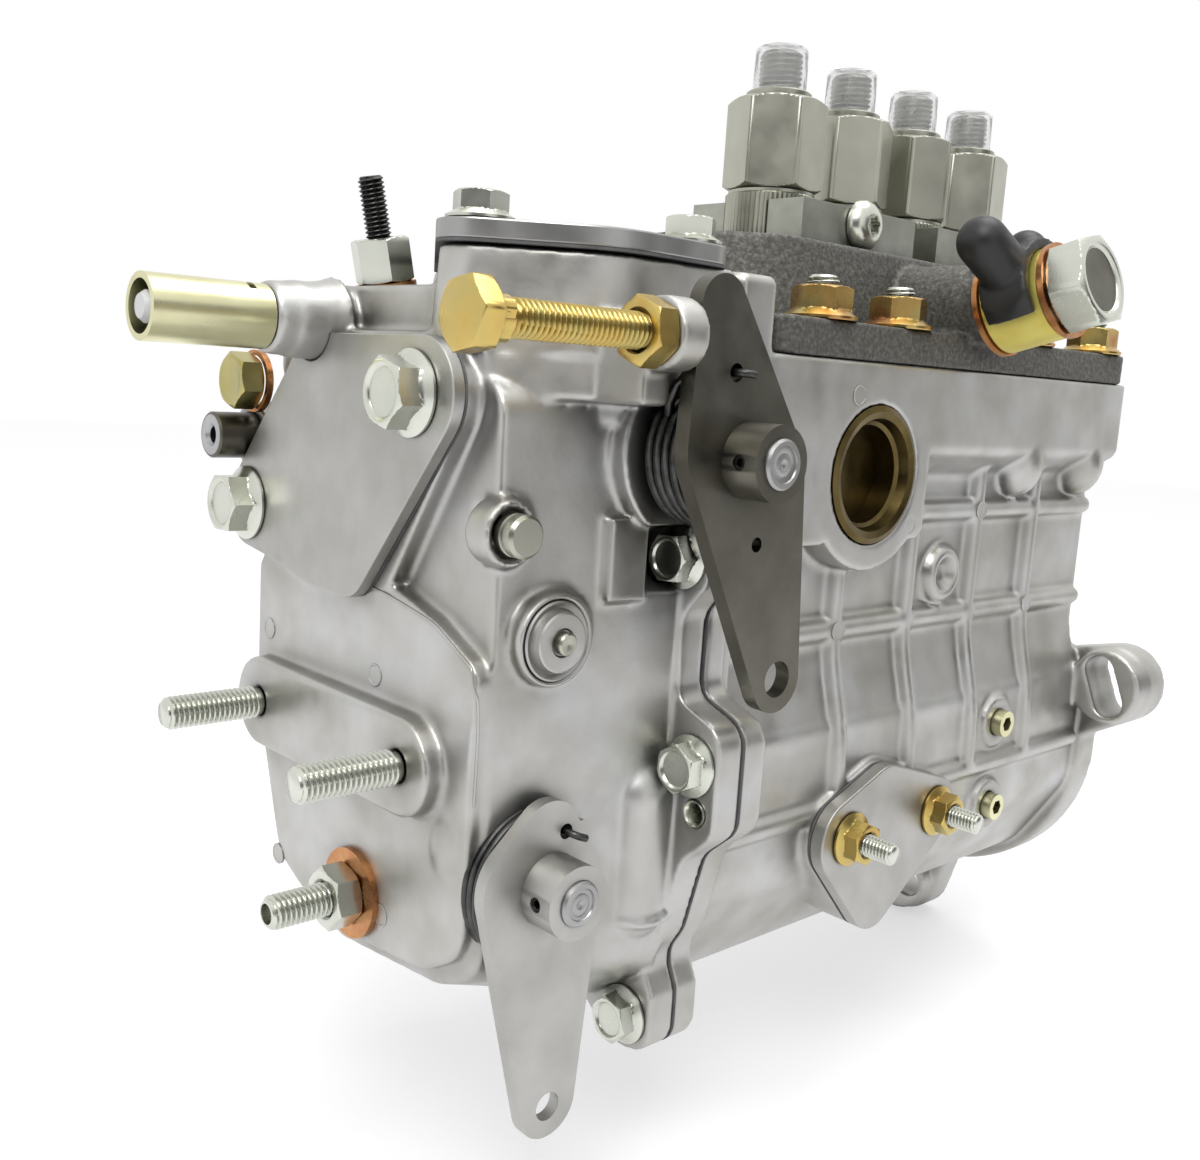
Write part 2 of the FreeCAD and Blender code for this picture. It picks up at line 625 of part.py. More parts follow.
def governor_case():
    top_rear = [(-250, -30, 10), (-228, -52, 26), (joint_x, -52, 1), (joint_x, 46, 1), (-212, 45, 7)]
    ledge = [(-257, -38, 10), (-228, -58, 30), (-206, -58, 3), (-206, 46, 2), (-257, 46, 6)]
    solids = [
        loft_x("case_main", [(raise_x, case_rear), (front_x + 2, case_front)]),
        slab_x("case_joint", joint_section, front_x, joint_x),
        slab_z("case_top", top_rear, 104, block_top),
        slab_z("case_ledge", ledge, 108, 116),
        slab_z("case_shelf", [(-256, -18, 6), (-236, -24, 4), (-215, 0, 4), (-215, 46, 4), (-256, 46, 8)],
               108, shelf_z),
        slab_x("case_raise", [(-44, -8, 12), (-30, -16, 12), (10, -20, 8), (33, -10, 12), (46, 28, 18),
                              (46, 66, 6), (-10, 67, 6), (-30, 61, 6), (-45, 54, 6)], rear_x, raise_x + 2),
        band("rear_oval", [(0, rear_stud_gap / 2, 11), (0, -rear_stud_gap / 2, 11)], boss_thick,
             (rear_x - boss_thick, rear_stud_y, rear_stud_z), "X"),
        cylinder("lever_boss", boss_radius, 18, (lever_x, boss_y, lever_z), "Y"),
        cylinder("lever_boss_root", boss_radius + 8, 8, (lever_x, -52, lever_z), "Y"),
        cylinder("stop_boss", 10, 10, (stop_x, stop_wall, stop_z), "Y"),
        cylinder("screw_lug", 7.2, lug_thick, (lug_x, screw_y, screw_z), "X"),
        block("screw_web", (lug_x, screw_y + 2.8, 108), (lug_x + lug_thick, -48, screw_z + 4)),
        cylinder("limiter_spigot", 8.5, 16, (rear_x - 10, 16.3, 121.5), "X"),
        cylinder("pin_boss", 7, 6, (-255, -47, 81.5), "Y"),
        cylinder("disc_boss", 10, 6, (-243, -49.5, 59.5), "Y"),
        cylinder("nipple_boss", 8.5, 9, (rear_x - 0.5, nipple_y, nipple_z), "X"),
    ]
    solids.append(slab_x("cover_seat", [(20, 60, 8), (51, 68, 8), (52, 90, 10), (22, 120, 12),
                                        (-30, 120, 10), (-40, 108, 10), (-12, 64, 8)],
                         rear_x - 0.5, raise_x + 1))
    rear_hollow = inset(case_rear, wall)
    front_hollow = inset(case_front, wall)
    bolt_ways = [(side * y, z) for y, z in m6_spots for side in (1, -1)]
    room = loft_x("case_room", [(raise_x + wall, rear_hollow), (front_x + 2, front_hollow)])
    hollows = [
        cut("case_room_clear", room, [cylinder("pocket_wall", pocket + 3, 26, (front_x - 24, y, z), "X")
                                      for y, z in bolt_ways]),
        slab_x("case_mouth", [(-45, -20, 14), (-30, -33, 14), (10, -33, 12), (40, -20, 14), (44, 24, 16),
                              (44, 112, 4), (-45, 112, 4)], front_x - 4, joint_x + 1),
        slab_z("case_well", inset(top_rear, wall), 100, block_top + 1),
        cylinder("lever_bore", lever_shaft + running, 40, (lever_x, boss_y - 1, lever_z), "Y"),
        cylinder("stop_bore", stop_shaft + running, 20, (stop_x, stop_wall - 1, stop_z), "Y"),
        cylinder("screw_bore", screw_radius, lug_thick + 2, (lug_x - 1, screw_y, screw_z), "X"),
        cylinder("limiter_bore", 4, 30, (rear_x - 12, 16.3, 121.5), "X"),
        block("beyond_joint", (joint_x, -90, -90), (joint_x + 30, 90, 160)),
    ]
    for y, z in bolt_ways:
        hollows.append(cylinder("joint_way", m6_radius + 0.3, joint_flange + 4, (front_x - 2, y, z), "X"))
        hollows.append(cylinder("bolt_pocket", pocket, 20, (front_x - 20, y, z), "X"))
    hollows += [cylinder("rear_bolt_hole", stud_radius, 20, (rear_x - 2, y, z), "X")
                for y, z in rear_bolt_spots]
    for side in (1, -1):
        stud_at = (rear_x - boss_thick - 1, rear_stud_y + side * rear_stud_gap / 2, rear_stud_z)
        hollows.append(cylinder("rear_stud_hole", stud_core, stud_root + 2, stud_at, "X"))
    hollows += [cylinder("top_bolt_hole", m6_radius, 12, (x, y, block_top - 11.4)) for x, y in top_bolt_spots]
    hollows += [
        cylinder("adjusting_hole", stud_radius, 11, (rear_x - 1, -2.4, -7.5), "X"),
        cylinder("plug_hole", 3.5, 9, (rear_x - 3, 45, 107), "X"),
        cylinder("nipple_hole", 5.6, 6, (rear_x - 3, nipple_y, nipple_z), "X"),
        cylinder("pin_hole", 4.5, 14, (-255, -51, 81.5), "Y"),
        cylinder("disc_hole", 8.5, 3, (-244, -52, 59.5), "Y"),
        cylinder("slant_face", 8.5, 14, on_slant(0), SLANT),
        cylinder("slant_hole", m6_radius, 20, on_slant(-9), SLANT),
        ring("spring_space", 15.5, boss_radius, 15, (lever_x, -67, lever_z), "Y"),
    ]
    node("governor_case", cut("governor_case", fuse("case_solid", solids), hollows))


YZ = upright(0).Rotation
thread_gap = cell("thread_gap", 0.05, "radial gap that stands for a thread")
cover_thick = cell("top_cover_thickness", 4, "thickness of the governor's top cover")
rear_cover_thick = cell("rear_cover_thickness", 3, "thickness of the rear cover plate")
rear_outline = [(-27, 107.5, 11.8), (0, 71, 9.5), (44, 77, 10), (15, 110, 9)]
cover_plane = block_top + gasket
side_face = side_y - gasket
side_cover_thick = cell("side_cover_thickness", 4, "thickness of the side cover")


def flange_bolt(name, thread, flats, flange, head, shank, at, along):
    """A hexagon flange bolt. Its head points along the given direction."""
    collar = head / 4
    back = {"X": "-X", "-X": "X", "Z": "-Z", "-Y": "Y"}[along]
    return fuse(name, [
        cone(name + "_flange", flange, flats / 2, collar + 0.8, at, along),
        hexagon(name + "_hex", flats, head, at, along),
        cylinder(name + "_shank", thread - thread_gap, shank, at, back),
    ])


def flange_nut(name, thread, flats, flange, high, at, along):
    """A hexagon flange nut that stands on the given point."""
    return cut(name, fuse(name + "_solid", [
        cone(name + "_flange", flange, flats / 2, high / 3, at, along),
        hexagon(name + "_hex", flats, high, at, along),
    ]), [cylinder(name + "_hole", thread, high, at, along)])


def gaskets():
    mouth = slab_x("joint_gap", [(-45, -20, 14), (-30, -33, 14), (10, -33, 12), (40, -20, 14), (44, 24, 16),
                                 (44, 112, 4), (-45, 112, 4)], joint_x - 1, joint_x + 2)
    joint = cut("joint_gasket", slab_x("joint_sheet", joint_section, joint_x, housing_joint_x),
                [mouth] + [cylinder("way", m6_radius + 0.3, 3, (joint_x - 1, side * y, z), "X")
                           for y, z in m6_spots for side in (1, -1)])
    top = cut("top_gasket", band("top_sheet", cover_outline, gasket, (0, 0, block_top), "Z"),
              [cylinder("way", m6_radius + 0.3, 3, (x, y, block_top - 1)) for x, y in top_bolt_spots])
    rear = cut("rear_gasket", band("rear_sheet", rear_outline, gasket, (rear_x - 0.5 - gasket, 0, 0), YZ),
               [cylinder("spigot_way", 8.8, 10, (rear_x - 8, 16.3, 121.5), "X")]
               + [cylinder("way", stud_radius + 0.3, 3, (rear_x - 2, y, z), "X") for y, z in rear_bolt_spots])
    side = cut("side_gasket", band("side_sheet", side_outline, gasket, (0, side_y, 0), "-Y"),
               [cylinder("way", m6_radius + 0.3, 3, (x, side_y - 2, side_z), "Y") for x in side_stud_x])
    node("gaskets", group("gaskets", [joint, top, rear, side]))


def m6_flange_bolts():
    bolts = [flange_bolt("joint_bolt", m6_radius, m6_flats, m6_flange, m6_high, joint_flange + 12,
                         (front_x, side * y, z), "-X") for y, z in m6_spots for side in (1, -1)]
    bolts += [flange_bolt("top_bolt", m6_radius, m6_flats, m6_flange, m6_high, 16,
                          (x, y, cover_plane + cover_thick), "Z") for x, y in top_bolt_spots]
    node("m6_flange_bolts", group("m6_flange_bolts", bolts))


def covers():
    plate = band("top_plate", cover_outline, cover_thick, (0, 0, cover_plane), "Z",
                 [(x, y, m6_radius + 0.3) for x, y in top_bolt_spots])
    dome = cone("top_dome", 13, 10, 2.5, (-228, -8, cover_plane + cover_thick))
    node("top_cover", fuse("top_cover", [plate, dome]))
    plate_x = rear_x - 0.5 - gasket - rear_cover_thick
    bolt_holes = [(y, z, stud_radius + 0.3) for y, z in rear_bolt_spots]
    plate = band("rear_plate", rear_outline, rear_cover_thick, (plate_x, 0, 0), YZ, bolt_holes)
    node("rear_cover", cut("rear_cover", plate,
                           [cylinder("spigot_way", 8.8, 10, (rear_x - 8, 16.3, 121.5), "X")]))
    bolts = [flange_bolt("rear_bolt", stud_radius, nut_flats, nut_flange, 7.5, 18,
                         (rear_x - 0.5 - gasket - rear_cover_thick, y, z), "-X") for y, z in rear_bolt_spots]
    node("rear_cover_bolts", group("rear_cover_bolts", bolts))
    node("side_cover", band("side_cover", side_outline, side_cover_thick, (0, side_face, 0), "-Y",
                            [(x, side_z, m6_radius + 0.3) for x in side_stud_x]))


inlet_x = cell("inlet_x", -98, "X of the fuel inlet")
inlet_y = cell("inlet_root_y", -24.5, "Y where the fuel inlet's boss leaves the head")
inlet_z = cell("inlet_root_z", 128.4, "Z where the fuel inlet's boss leaves the head")
inlet_tilt = cell("inlet_tilt", 16, "upward tilt of the fuel inlet, in degrees")
inlet_long = cell("inlet_boss_length", 32, "length of the fuel inlet's boss")
inlet_bore = cell("inlet_bolt_radius", 7, "radius of the banjo bolt's thread")
banjo_radius = cell("banjo_radius", 12, "radius of the banjo")
banjo_high = cell("banjo_height", 17, "height of the banjo")
copper = cell("copper_thickness", 1.5, "thickness of the copper washers")
tilt = math.radians(inlet_tilt.value)
INLET = Rotation(Vector(1, 0, 0), 90 - inlet_tilt.value)


def on_inlet(distance):
    """A point on the fuel inlet's axis, at a distance from its root."""
    return (inlet_x, inlet_y - distance * math.cos(tilt), inlet_z + distance * math.sin(tilt))


def outlet_head():
    low_z = deck_z + head_flange
    plate = band("head_plate", [(head_left + 8, -band_y + 8, 8), (head_right - 8, -band_y + 8, 8),
                                (head_right - 8, band_y - 8, 8), (head_left + 8, band_y - 8, 8)],
                 head_flange, (0, 0, deck_z), "Z",
                 [(x, y, stud_radius + 0.3) for x, y in stud_spots])
    left, right = first_x - 38, last_x + 20
    upper = [(left, -head_half, 24), (right, -head_half, 12), (right, head_half, 12), (left, head_half, 24)]
    lower = [(left - 3, -head_half - 4, 27), (right + 1, -head_half - 4, 14), (right + 1, head_half + 4, 14),
             (left - 3, head_half + 4, 27)]
    solids = [
        plate,
        loft_z("head_block", [(low_z - 1, lower), (head_top, upper)]),
        common("inlet_boss", [
            fuse("boss_solid", [
                cylinder("boss_slanted", 11, inlet_long - 12, on_inlet(12), INLET),
                cylinder("boss_level", 11, 25, (inlet_x, -24, head_top - 13.5), "-Y"),
                block("boss_foot", (inlet_x - 11, -50, deck_z), (inlet_x + 11, -24, head_top - 13.5))]),
            block("boss_limit", (inlet_x - 20, -70, low_z - 1), (inlet_x + 20, -20, head_top + 5))]),
    ]
    hollows = [cylinder("inlet_hole", inlet_bore, 24, on_inlet(9), INLET)]
    for x in outlet_x:
        hollows.append(cylinder("barrel_hole", barrel_radius + thread_gap, 60, (x, 0, 100)))
        hollows.append(cylinder("holder_hole", shank_radius + thread_gap, shank_long,
                                (x, 0, head_top - shank_long)))
    node("outlet_head", cut("outlet_head", fuse("head_solid", solids), hollows))
    studs = [cylinder("head_stud", stud_radius - thread_gap, 32, (x, y, deck_z - stud_depth))
             for x, y in stud_spots]
    node("head_studs", group("head_studs", studs))
    nuts = [flange_nut("head_nut", stud_radius, nut_flats, nut_flange, nut_high, (x, y, low_z), "Z")
            for x, y in stud_spots]
    node("head_nuts", group("head_nuts", nuts))


def side_fasteners():
    reach = gasket + side_cover_thick + 5 + 9
    node("side_cover_studs", group("side_cover_studs", [
        cylinder("side_stud", m6_radius - thread_gap, reach + 9, (x, side_y + 9, side_z), "-Y")
        for x in side_stud_x]))
    node("side_cover_nuts", group("side_cover_nuts", [
        flange_nut("side_nut", m6_radius, m6_flats, m6_flange, 6, (x, side_face - side_cover_thick, side_z),
                   "-Y") for x in side_stud_x]))


def holder(index, x):
    """A delivery valve holder: threaded shank, splined base, hexagon, collar and outlet."""
    hex_low = head_top + base_high
    hex_top = hex_low + hex_high
    collar_top = hex_top + collar_high
    corner = holder_flats * 0.577
    outside = turned("holder_outside", [
        (0, head_top - shank_long), (shank_radius, head_top - shank_long), (shank_radius, head_top),
        (holder_base, head_top), (holder_base, hex_low - 0.6), (holder_base - 1, hex_low),
        (corner - 0.9, hex_low), (corner, hex_low + 0.7), (corner, hex_top - 1), (corner - 1.6, hex_top),
        (collar_radius, hex_top), (collar_radius, collar_top), (outlet_radius, collar_top),
        (outlet_radius, collar_top + outlet_high - 1), (outlet_radius - 1, collar_top + outlet_high),
        (0, collar_top + outlet_high)], (x, 0, 0))
    sleeve = fuse("holder_limits", [
        hexagon("holder_hex", holder_flats, hex_high, (x, 0, hex_low), "Z", holder_turns[index]),
        cylinder("holder_low", holder_base, base_high + shank_long, (x, 0, head_top - shank_long)),
        cylinder("holder_high", collar_radius, 30, (x, 0, hex_top)),
    ])
    bore = [cylinder("valve_room", 5, 22, (x, 0, head_top - shank_long)),
            cylinder("fuel_way", 1.6, 70, (x, 0, head_top))]
    return cut("delivery_valve_holder", common("holder_body", [outside, sleeve]), bore)


def outlets():
    node("delivery_valve_holders", group("delivery_valve_holders", [
        holder(index, x) for index, x in enumerate(outlet_x)]))
    low = head_top + base_high + hex_high + collar_high
    inner = outlet_radius + gap
    caps = [turned("outlet_cap", [(inner, low), (cap_radius, low), (cap_radius - 0.2, low + cap_high - 1),
                                  (cap_radius - 1.2, low + cap_high), (0, low + cap_high),
                                  (0, low + outlet_high + 0.1), (inner, low + outlet_high + 0.1)], (x, 0, 0))
            for x in outlet_x]
    node("outlet_caps", group("outlet_caps", caps))
    bars = []
    for pair in (0, 2):
        middle = outlet_x[pair] + pitch / 2
        for name, near, far in (("front", -20, -1), ("rear", 1, 20)):
            bar = block("bar", (middle - 26, near, head_top), (middle + 26, far, head_top + 11.5))
            cuts = [cylinder("bar_recess", holder_base + thread_gap, 14,
                             (outlet_x[pair + step], 0, head_top - 1)) for step in (0, 1)]
            cuts.append(cylinder("bar_hole", m6_radius, 50, (middle, -25, head_top + 7.1), "Y"))
            bars.append(cut("lock_bar_" + name, bar, cuts))
    node("lock_bars", group("lock_bars", bars))
    screws = []
    for pair in (0, 2):
        at = (outlet_x[pair] + pitch / 2, -20, head_top + 7.1)
        head = turned("screw_head", [(0, 0), (7, 0), (6.6, 2), (4.8, 4), (3, 4.4), (3, 2), (0, 2)], at, "-Y")
        shank = cylinder("screw_shank", m6_radius - thread_gap, 36, at, "Y")
        screws.append(fuse("lock_bar_screw", [head, shank]))
    node("lock_bar_screws", group("lock_bar_screws", screws))


spigot_angle = cell("spigot_angle", 33, "angle of the inlet spigot over the level, in degrees")


def inlet():
    start = inlet_long + copper
    lean = math.radians(spigot_angle.value)
    middle = on_inlet(start + banjo_high / 2)
    out = Vector(-math.cos(lean), math.sin(lean) * math.sin(tilt), math.sin(lean) * math.cos(tilt))
    spigot_way = Rotation(Vector(0, 0, 1), out)
    body = cut("inlet_banjo", fuse("banjo_solid", [
        cylinder("banjo_ring", banjo_radius, banjo_high, on_inlet(start), INLET),
        cylinder("banjo_spigot", 4.5, 24, middle, spigot_way)]),
        [cylinder("banjo_hole", inlet_bore + gap, banjo_high, on_inlet(start), INLET)])
    node("inlet_banjo", body)
    over = start + banjo_high + copper
    node("inlet_banjo_bolt", fuse("inlet_banjo_bolt", [
        cylinder("banjo_shank", inlet_bore - thread_gap, over - 12, on_inlet(12), INLET),
        cylinder("banjo_collar", 11, 1, on_inlet(over), INLET),
        hexagon("banjo_head", 22, 10, on_inlet(over), INLET, 12)]))
    cap_at = [as_size(middle[k]) + out[k] * 9 for k in range(3)]
    end_at = [as_size(middle[k]) + out[k] * 24.5 for k in range(3)]
    upright_way = Vector(0.1, math.sin(tilt), math.cos(tilt))
    lobe_at = [as_size(middle[k]) + upright_way[k] * 13.5 for k in range(3)]
    boot_way = Rotation(Vector(0, 0, 1), Vector(-0.5, math.sin(tilt), math.cos(tilt)))
    boot = common("cap_boot", [
        cylinder("boot_round", banjo_radius + 3, 13, on_inlet(start + 2), INLET),
        cylinder("boot_limit", 15, 40, middle, boot_way)])
    cap = cut("inlet_cap", fuse("cap_solid", [
        boot,
        cylinder("cap_stem", 6.5, 15.5, cap_at, spigot_way),
        sphere("cap_end", 6.5, end_at),
        sphere("cap_lobe", 5.5, lobe_at)]),
        [cylinder("cap_hole", 4.5 + thread_gap, 17, cap_at, spigot_way),
         cylinder("boot_hole", banjo_radius + thread_gap, 30, on_inlet(start - 5), INLET)])
    node("inlet_cap", cap)


plug_seat_x = rear_x - 1.5
def small_fittings():
    start = inlet_long
    washers = [
        ring("inlet_washer", banjo_radius + 0.5, inlet_bore + gap, copper, on_inlet(start), INLET),
        ring("inlet_washer_outer", banjo_radius + 0.5, inlet_bore + gap, copper,
             on_inlet(start + copper + banjo_high), INLET),
        ring("plug_washer", 7.5, 6 + gap, copper, (plug_seat_x - copper, 45, 107), "X"),
        ring("screw_washer", 10.5, stud_radius + gap, copper, (rear_x - copper, -2.4, -7.5), "X"),
        ring("stud_washer", 7, m6_radius + gap, copper, on_slant(0), SLANT),
    ]
    node("copper_washers", group("copper_washers", washers))
    node("cup_plug", turned("cup_plug", [
        (0, 9), (0, 10.5), (cup_radius, 10.5), (cup_radius, 0), (cup_radius - 1.5, -0.6),
        (cup_radius - 3.2, 0), (cup_radius - 4, 2.5), (cup_radius - 5, 3.2), (cup_radius - 5.4, 9)],
        (cup_x, -band_y, cup_z), "Y"))
    node("oil_plugs", group("oil_plugs", [
        cut("oil_plug", cylinder("oil_plug_solid", 4 - thread_gap, 11, (x, side_y - 2, z), "Y"),
            [hexagon("oil_plug_socket", 4, 4, (x, side_y - 2, z), "Y")]) for x, z in plug_spots]))
    node("limiter_sleeve", cut("limiter_sleeve", cylinder("sleeve_solid", 7, 27, (-303, 16.3, 121.5), "X"), [
        cylinder("sleeve_bore", 5.6, 25, (-303, 16.3, 121.5), "X"),
        cylinder("sleeve_way", 4.1, 30, (-304, 16.3, 121.5), "X"),
        block("sleeve_slot", (-281, 12, 126), (-279.4, 18, 130))]))
    node("limiter_plunger", turned("limiter_plunger", [
        (0, 1), (2.5, 1), (3.4, 2.2), (3.4, 8), (3.9, 8), (3.9, 48), (0, 48)], (-304, 16.3, 121.5), "X"))
    node("hex_plug", fuse("hex_plug", [
        hexagon("plug_hex", 12, 6, (plug_seat_x - copper, 45, 107), "-X", 10),
        cylinder("plug_thread", 3.5 - thread_gap, 7, (plug_seat_x - copper, 45, 107), "X")]))
    node("return_nipple", turned("return_nipple", [
        (2, 0), (5.2, 0), (5.6, 0.6), (5.6, 14), (2, 14), (2, 1.5), (2.8, 0.6)],
        (-271, nipple_y, nipple_z), "X"))
    thread, core = stud_radius - thread_gap, stud_core - thread_gap
    relief_x, root_x = stud_free - stud_relief, stud_free + stud_root
    node("rear_studs", group("rear_studs", [
        turned("rear_stud", [(0, 0), (thread, 0), (thread, relief_x), (core, relief_x), (core, root_x),
                             (0, root_x)], (rear_x - boss_thick - stud_free, y, rear_stud_z), "X")
        for y in (rear_stud_y - rear_stud_gap / 2, rear_stud_y + rear_stud_gap / 2)]))
    node("adjusting_screw", cut("adjusting_screw",
         cylinder("adjusting_solid", stud_radius - thread_gap, 32, (rear_x - 22, -2.4, -7.5), "X"),
         [hexagon("adjusting_socket", 4, 4, (rear_x - 22, -2.4, -7.5), "X")]))
    node("adjusting_nut", cut("adjusting_nut",
         hexagon("adjusting_hex", nut_flats, 6.5, (rear_x - copper, -2.4, -7.5), "-X", 15),
         [cylinder("adjusting_hole", stud_radius, 7, (rear_x - copper, -2.4, -7.5), "-X")]))
    node("slanted_stud", cylinder("slanted_stud", m6_radius - thread_gap, 33, on_slant(-8), SLANT))
    node("slanted_nut", cut("slanted_nut", hexagon("slanted_hex", 12, 10, on_slant(copper), SLANT, 10),
         [cylinder("slanted_hole", m6_radius, 12, on_slant(copper), SLANT)]))
    head_x = lug_x - 46
    node("stop_screw", fuse("stop_screw", [
        hexagon("stop_head", screw_flats, 5, (head_x, screw_y, screw_z), "X"),
        block("stop_collar", (head_x + 5, screw_y - 3.9, screw_z - 3.9),
              (head_x + 9, screw_y + 3.9, screw_z + 3.9)),
        cylinder("stop_thread", screw_radius - thread_gap, screw_tip - head_x - 5,
                 (head_x + 5, screw_y, screw_z), "X")]))
    node("stop_screw_nut", cut("stop_screw_nut",
         hexagon("stop_nut_hex", screw_flats, 5.5, (lug_x, screw_y, screw_z), "-X"),
         [cylinder("stop_nut_hole", screw_radius, 6, (lug_x, screw_y, screw_z), "-X")]))
    node("case_pins", group("case_pins", [
        turned("case_pin", [(0, 0), (3.9, 0), (4.5, 0.8), (4.5, 14), (0, 14)], (-255, -51, 81.5), "Y"),
        turned("case_disc", [(0, 0.4), (3, 0.4), (3, 1.2), (7.6, 1.2), (8.5, 0.5), (8.5, 3), (0, 3)],
               (-244, -52, 59.5), "Y")]))


def weights_and_shaft():
    shaft = turned("shaft_line", [
        (0, -226), (6, -226), (6, -204), (8, -204), (8, rear_bearing_x - 4),
        (shaft_radius, rear_bearing_x - 4), (shaft_radius, rear_bearing_x + bearing_width + 1),
        (cam_base - 2, rear_bearing_x + bearing_width + 1),
        (cam_base - 2, drive_bearing_x - 1), (shaft_radius, drive_bearing_x - 1), (shaft_radius, 7),
        (8.5, 27), (6, 27), (6, 42), (0, 42)], (0, 0, 0), "X")
    lobes = [cam_shape(x, index) for index, x in enumerate(outlet_x)]
    key = block("camshaft_key", (10, -2, 6), (22, 2, 11.5))
    keyed = cut("camshaft_line", fuse("shaft_solid", [shaft] + lobes),
                [block("keyway", (10, -2, 6), (22, 2, 13))])
    node("camshaft", group("camshaft", [keyed, key]))
    node("camshaft_nut", cut("camshaft_nut", hexagon("shaft_nut_hex", 19, 10, (27, 0, 0), "X"),
                             [cylinder("shaft_nut_hole", 6 + thread_gap, 12, (26, 0, 0), "X")]))
    outers, inners = [], []
    for x in (rear_bearing_x, drive_bearing_x):
        outers.append(ring("outer_ring", race_radius - thread_gap, race_inner, bearing_width, (x, 0, 0), "X"))
        inners.append(ring("inner_ring", hub_race, shaft_radius, bearing_width, (x, 0, 0), "X"))
        middle = (hub_race + race_inner) / 2
        roller = (race_inner - hub_race) / 2 - running
        for step in range(10):
            turn = 2 * math.pi * step / 10
            inners.append(cylinder("roller", roller, bearing_width - 3,
                                   (x + 1.5, middle * math.cos(turn), middle * math.sin(turn)), "X"))
    node("bearing_outer_rings", group("bearing_outer_rings", outers))
    node("bearing_inner_rings", group("bearing_inner_rings", inners))
    seal_x = drive_bearing_x + bearing_width + 1
    node("oil_seal", ring("oil_seal", seal_radius, shaft_radius + running, 7, (seal_x, 0, 0), "X"))


def elements():
    barrels, valves, springs, tappets = [], [], [], []
    barrel_top = head_top - shank_long - 0.2
    for x in outlet_x:
        barrels.append(cut("barrel", turned("barrel_outside", [
            (0, 84), (neck_radius, 84), (neck_radius, deck_z - 6), (barrel_radius, deck_z - 6),
            (barrel_radius, barrel_top), (0, barrel_top)], (x, 0, 0)),
            [cylinder("barrel_bore", plunger_radius + running, barrel_top - 80 + 1, (x, 0, 80))]))
        low = barrel_top
        valves.append(cut("delivery_valve", cylinder("valve_solid", 4.5, 8, (x, 0, low)),
                          [cylinder("valve_way", 1.6, 8, (x, 0, low))]))
        valves.append(ring("valve_spring", 3.9, 2.9, 12, (x, 0, low + 8)))
        springs.append(ring("plunger_spring", 10.4, 8.2, spring_top - tappet_top - seat_thick,
                            (x, 0, tappet_top + seat_thick)))
        springs.append(ring("spring_seat_low", 12, 3.5, seat_thick, (x, 0, tappet_top)))
        springs.append(ring("spring_seat_top", 12, 6, seat_thick, (x, 0, spring_top)))
        roller_z = cam_base + cam_lift + gap + roller_radius
        tappet = cut("tappet", cylinder("tappet_solid", tappet_radius - running, tappet_top - roller_z + 2,
                                        (x, 0, roller_z - 2)),
                     [block("tappet_slot", (x - 6.3, -15, roller_z - 5),
                            (x + 6.3, 15, roller_z + roller_radius + 0.5))])
        tappets.append(tappet)
        tappets.append(cylinder("tappet_roller", roller_radius, 12, (x - 6, 0, roller_z), "X"))
        tappets.append(cylinder("tappet_pin", 2.5, 20, (x - 10, 0, roller_z), "X"))
    node("barrels", group("barrels", barrels))
    node("delivery_valves", group("delivery_valves", valves))
    node("plunger_springs", group("plunger_springs", springs))
    node("tappets", group("tappets", tappets))


lever_face = cell("speed_lever_face_y", -69.2, "Y of the outer face of the speed lever")
lever_thick = cell("speed_lever_thickness", 3.7, "thickness of the speed lever")
hub_radius = cell("lever_hub_radius", 8, "radius of the levers' hubs")
lever_reach = cell("lever_hub_height", 9, "height of the levers' hubs over their plates")
stop_face = cell("stop_lever_face_y", -52, "Y of the outer face of the stop lever")
stop_thick = cell("stop_lever_thickness", 3, "thickness of the stop lever")
speed_outline = [(-221.8, 128.1, 6.5), (-218.5, 100, 11), (-196, 50, 7.6), (-202, 95.5, 9.6)]
stop_outline = [(-249, 8, 12), (-240.5, -43.5, 7.7), (-238.5, 5, 10), (-244, 18, 8)]


def lever(name, outline, face, thick, hub_x, hub_z, shaft, holes):
    """A flat lever with a turned hub, clamped on its shaft by a cross hole."""
    plate = band(name + "_plate", outline, thick, (0, face + thick, 0), "-Y", holes)
    hub = cylinder(name + "_hub", hub_radius, lever_reach + thick, (hub_x, face + thick, hub_z), "-Y")
    bore = cylinder(name + "_bore", shaft, lever_reach + thick + 2, (hub_x, face + thick + 1, hub_z), "-Y")
    pin_hole = cylinder(name + "_pin_hole", 1.6, 12, (hub_x - 12, face - lever_reach / 2, hub_z), "X")
    return fuse(name, [plate, hub]), [bore, pin_hole]


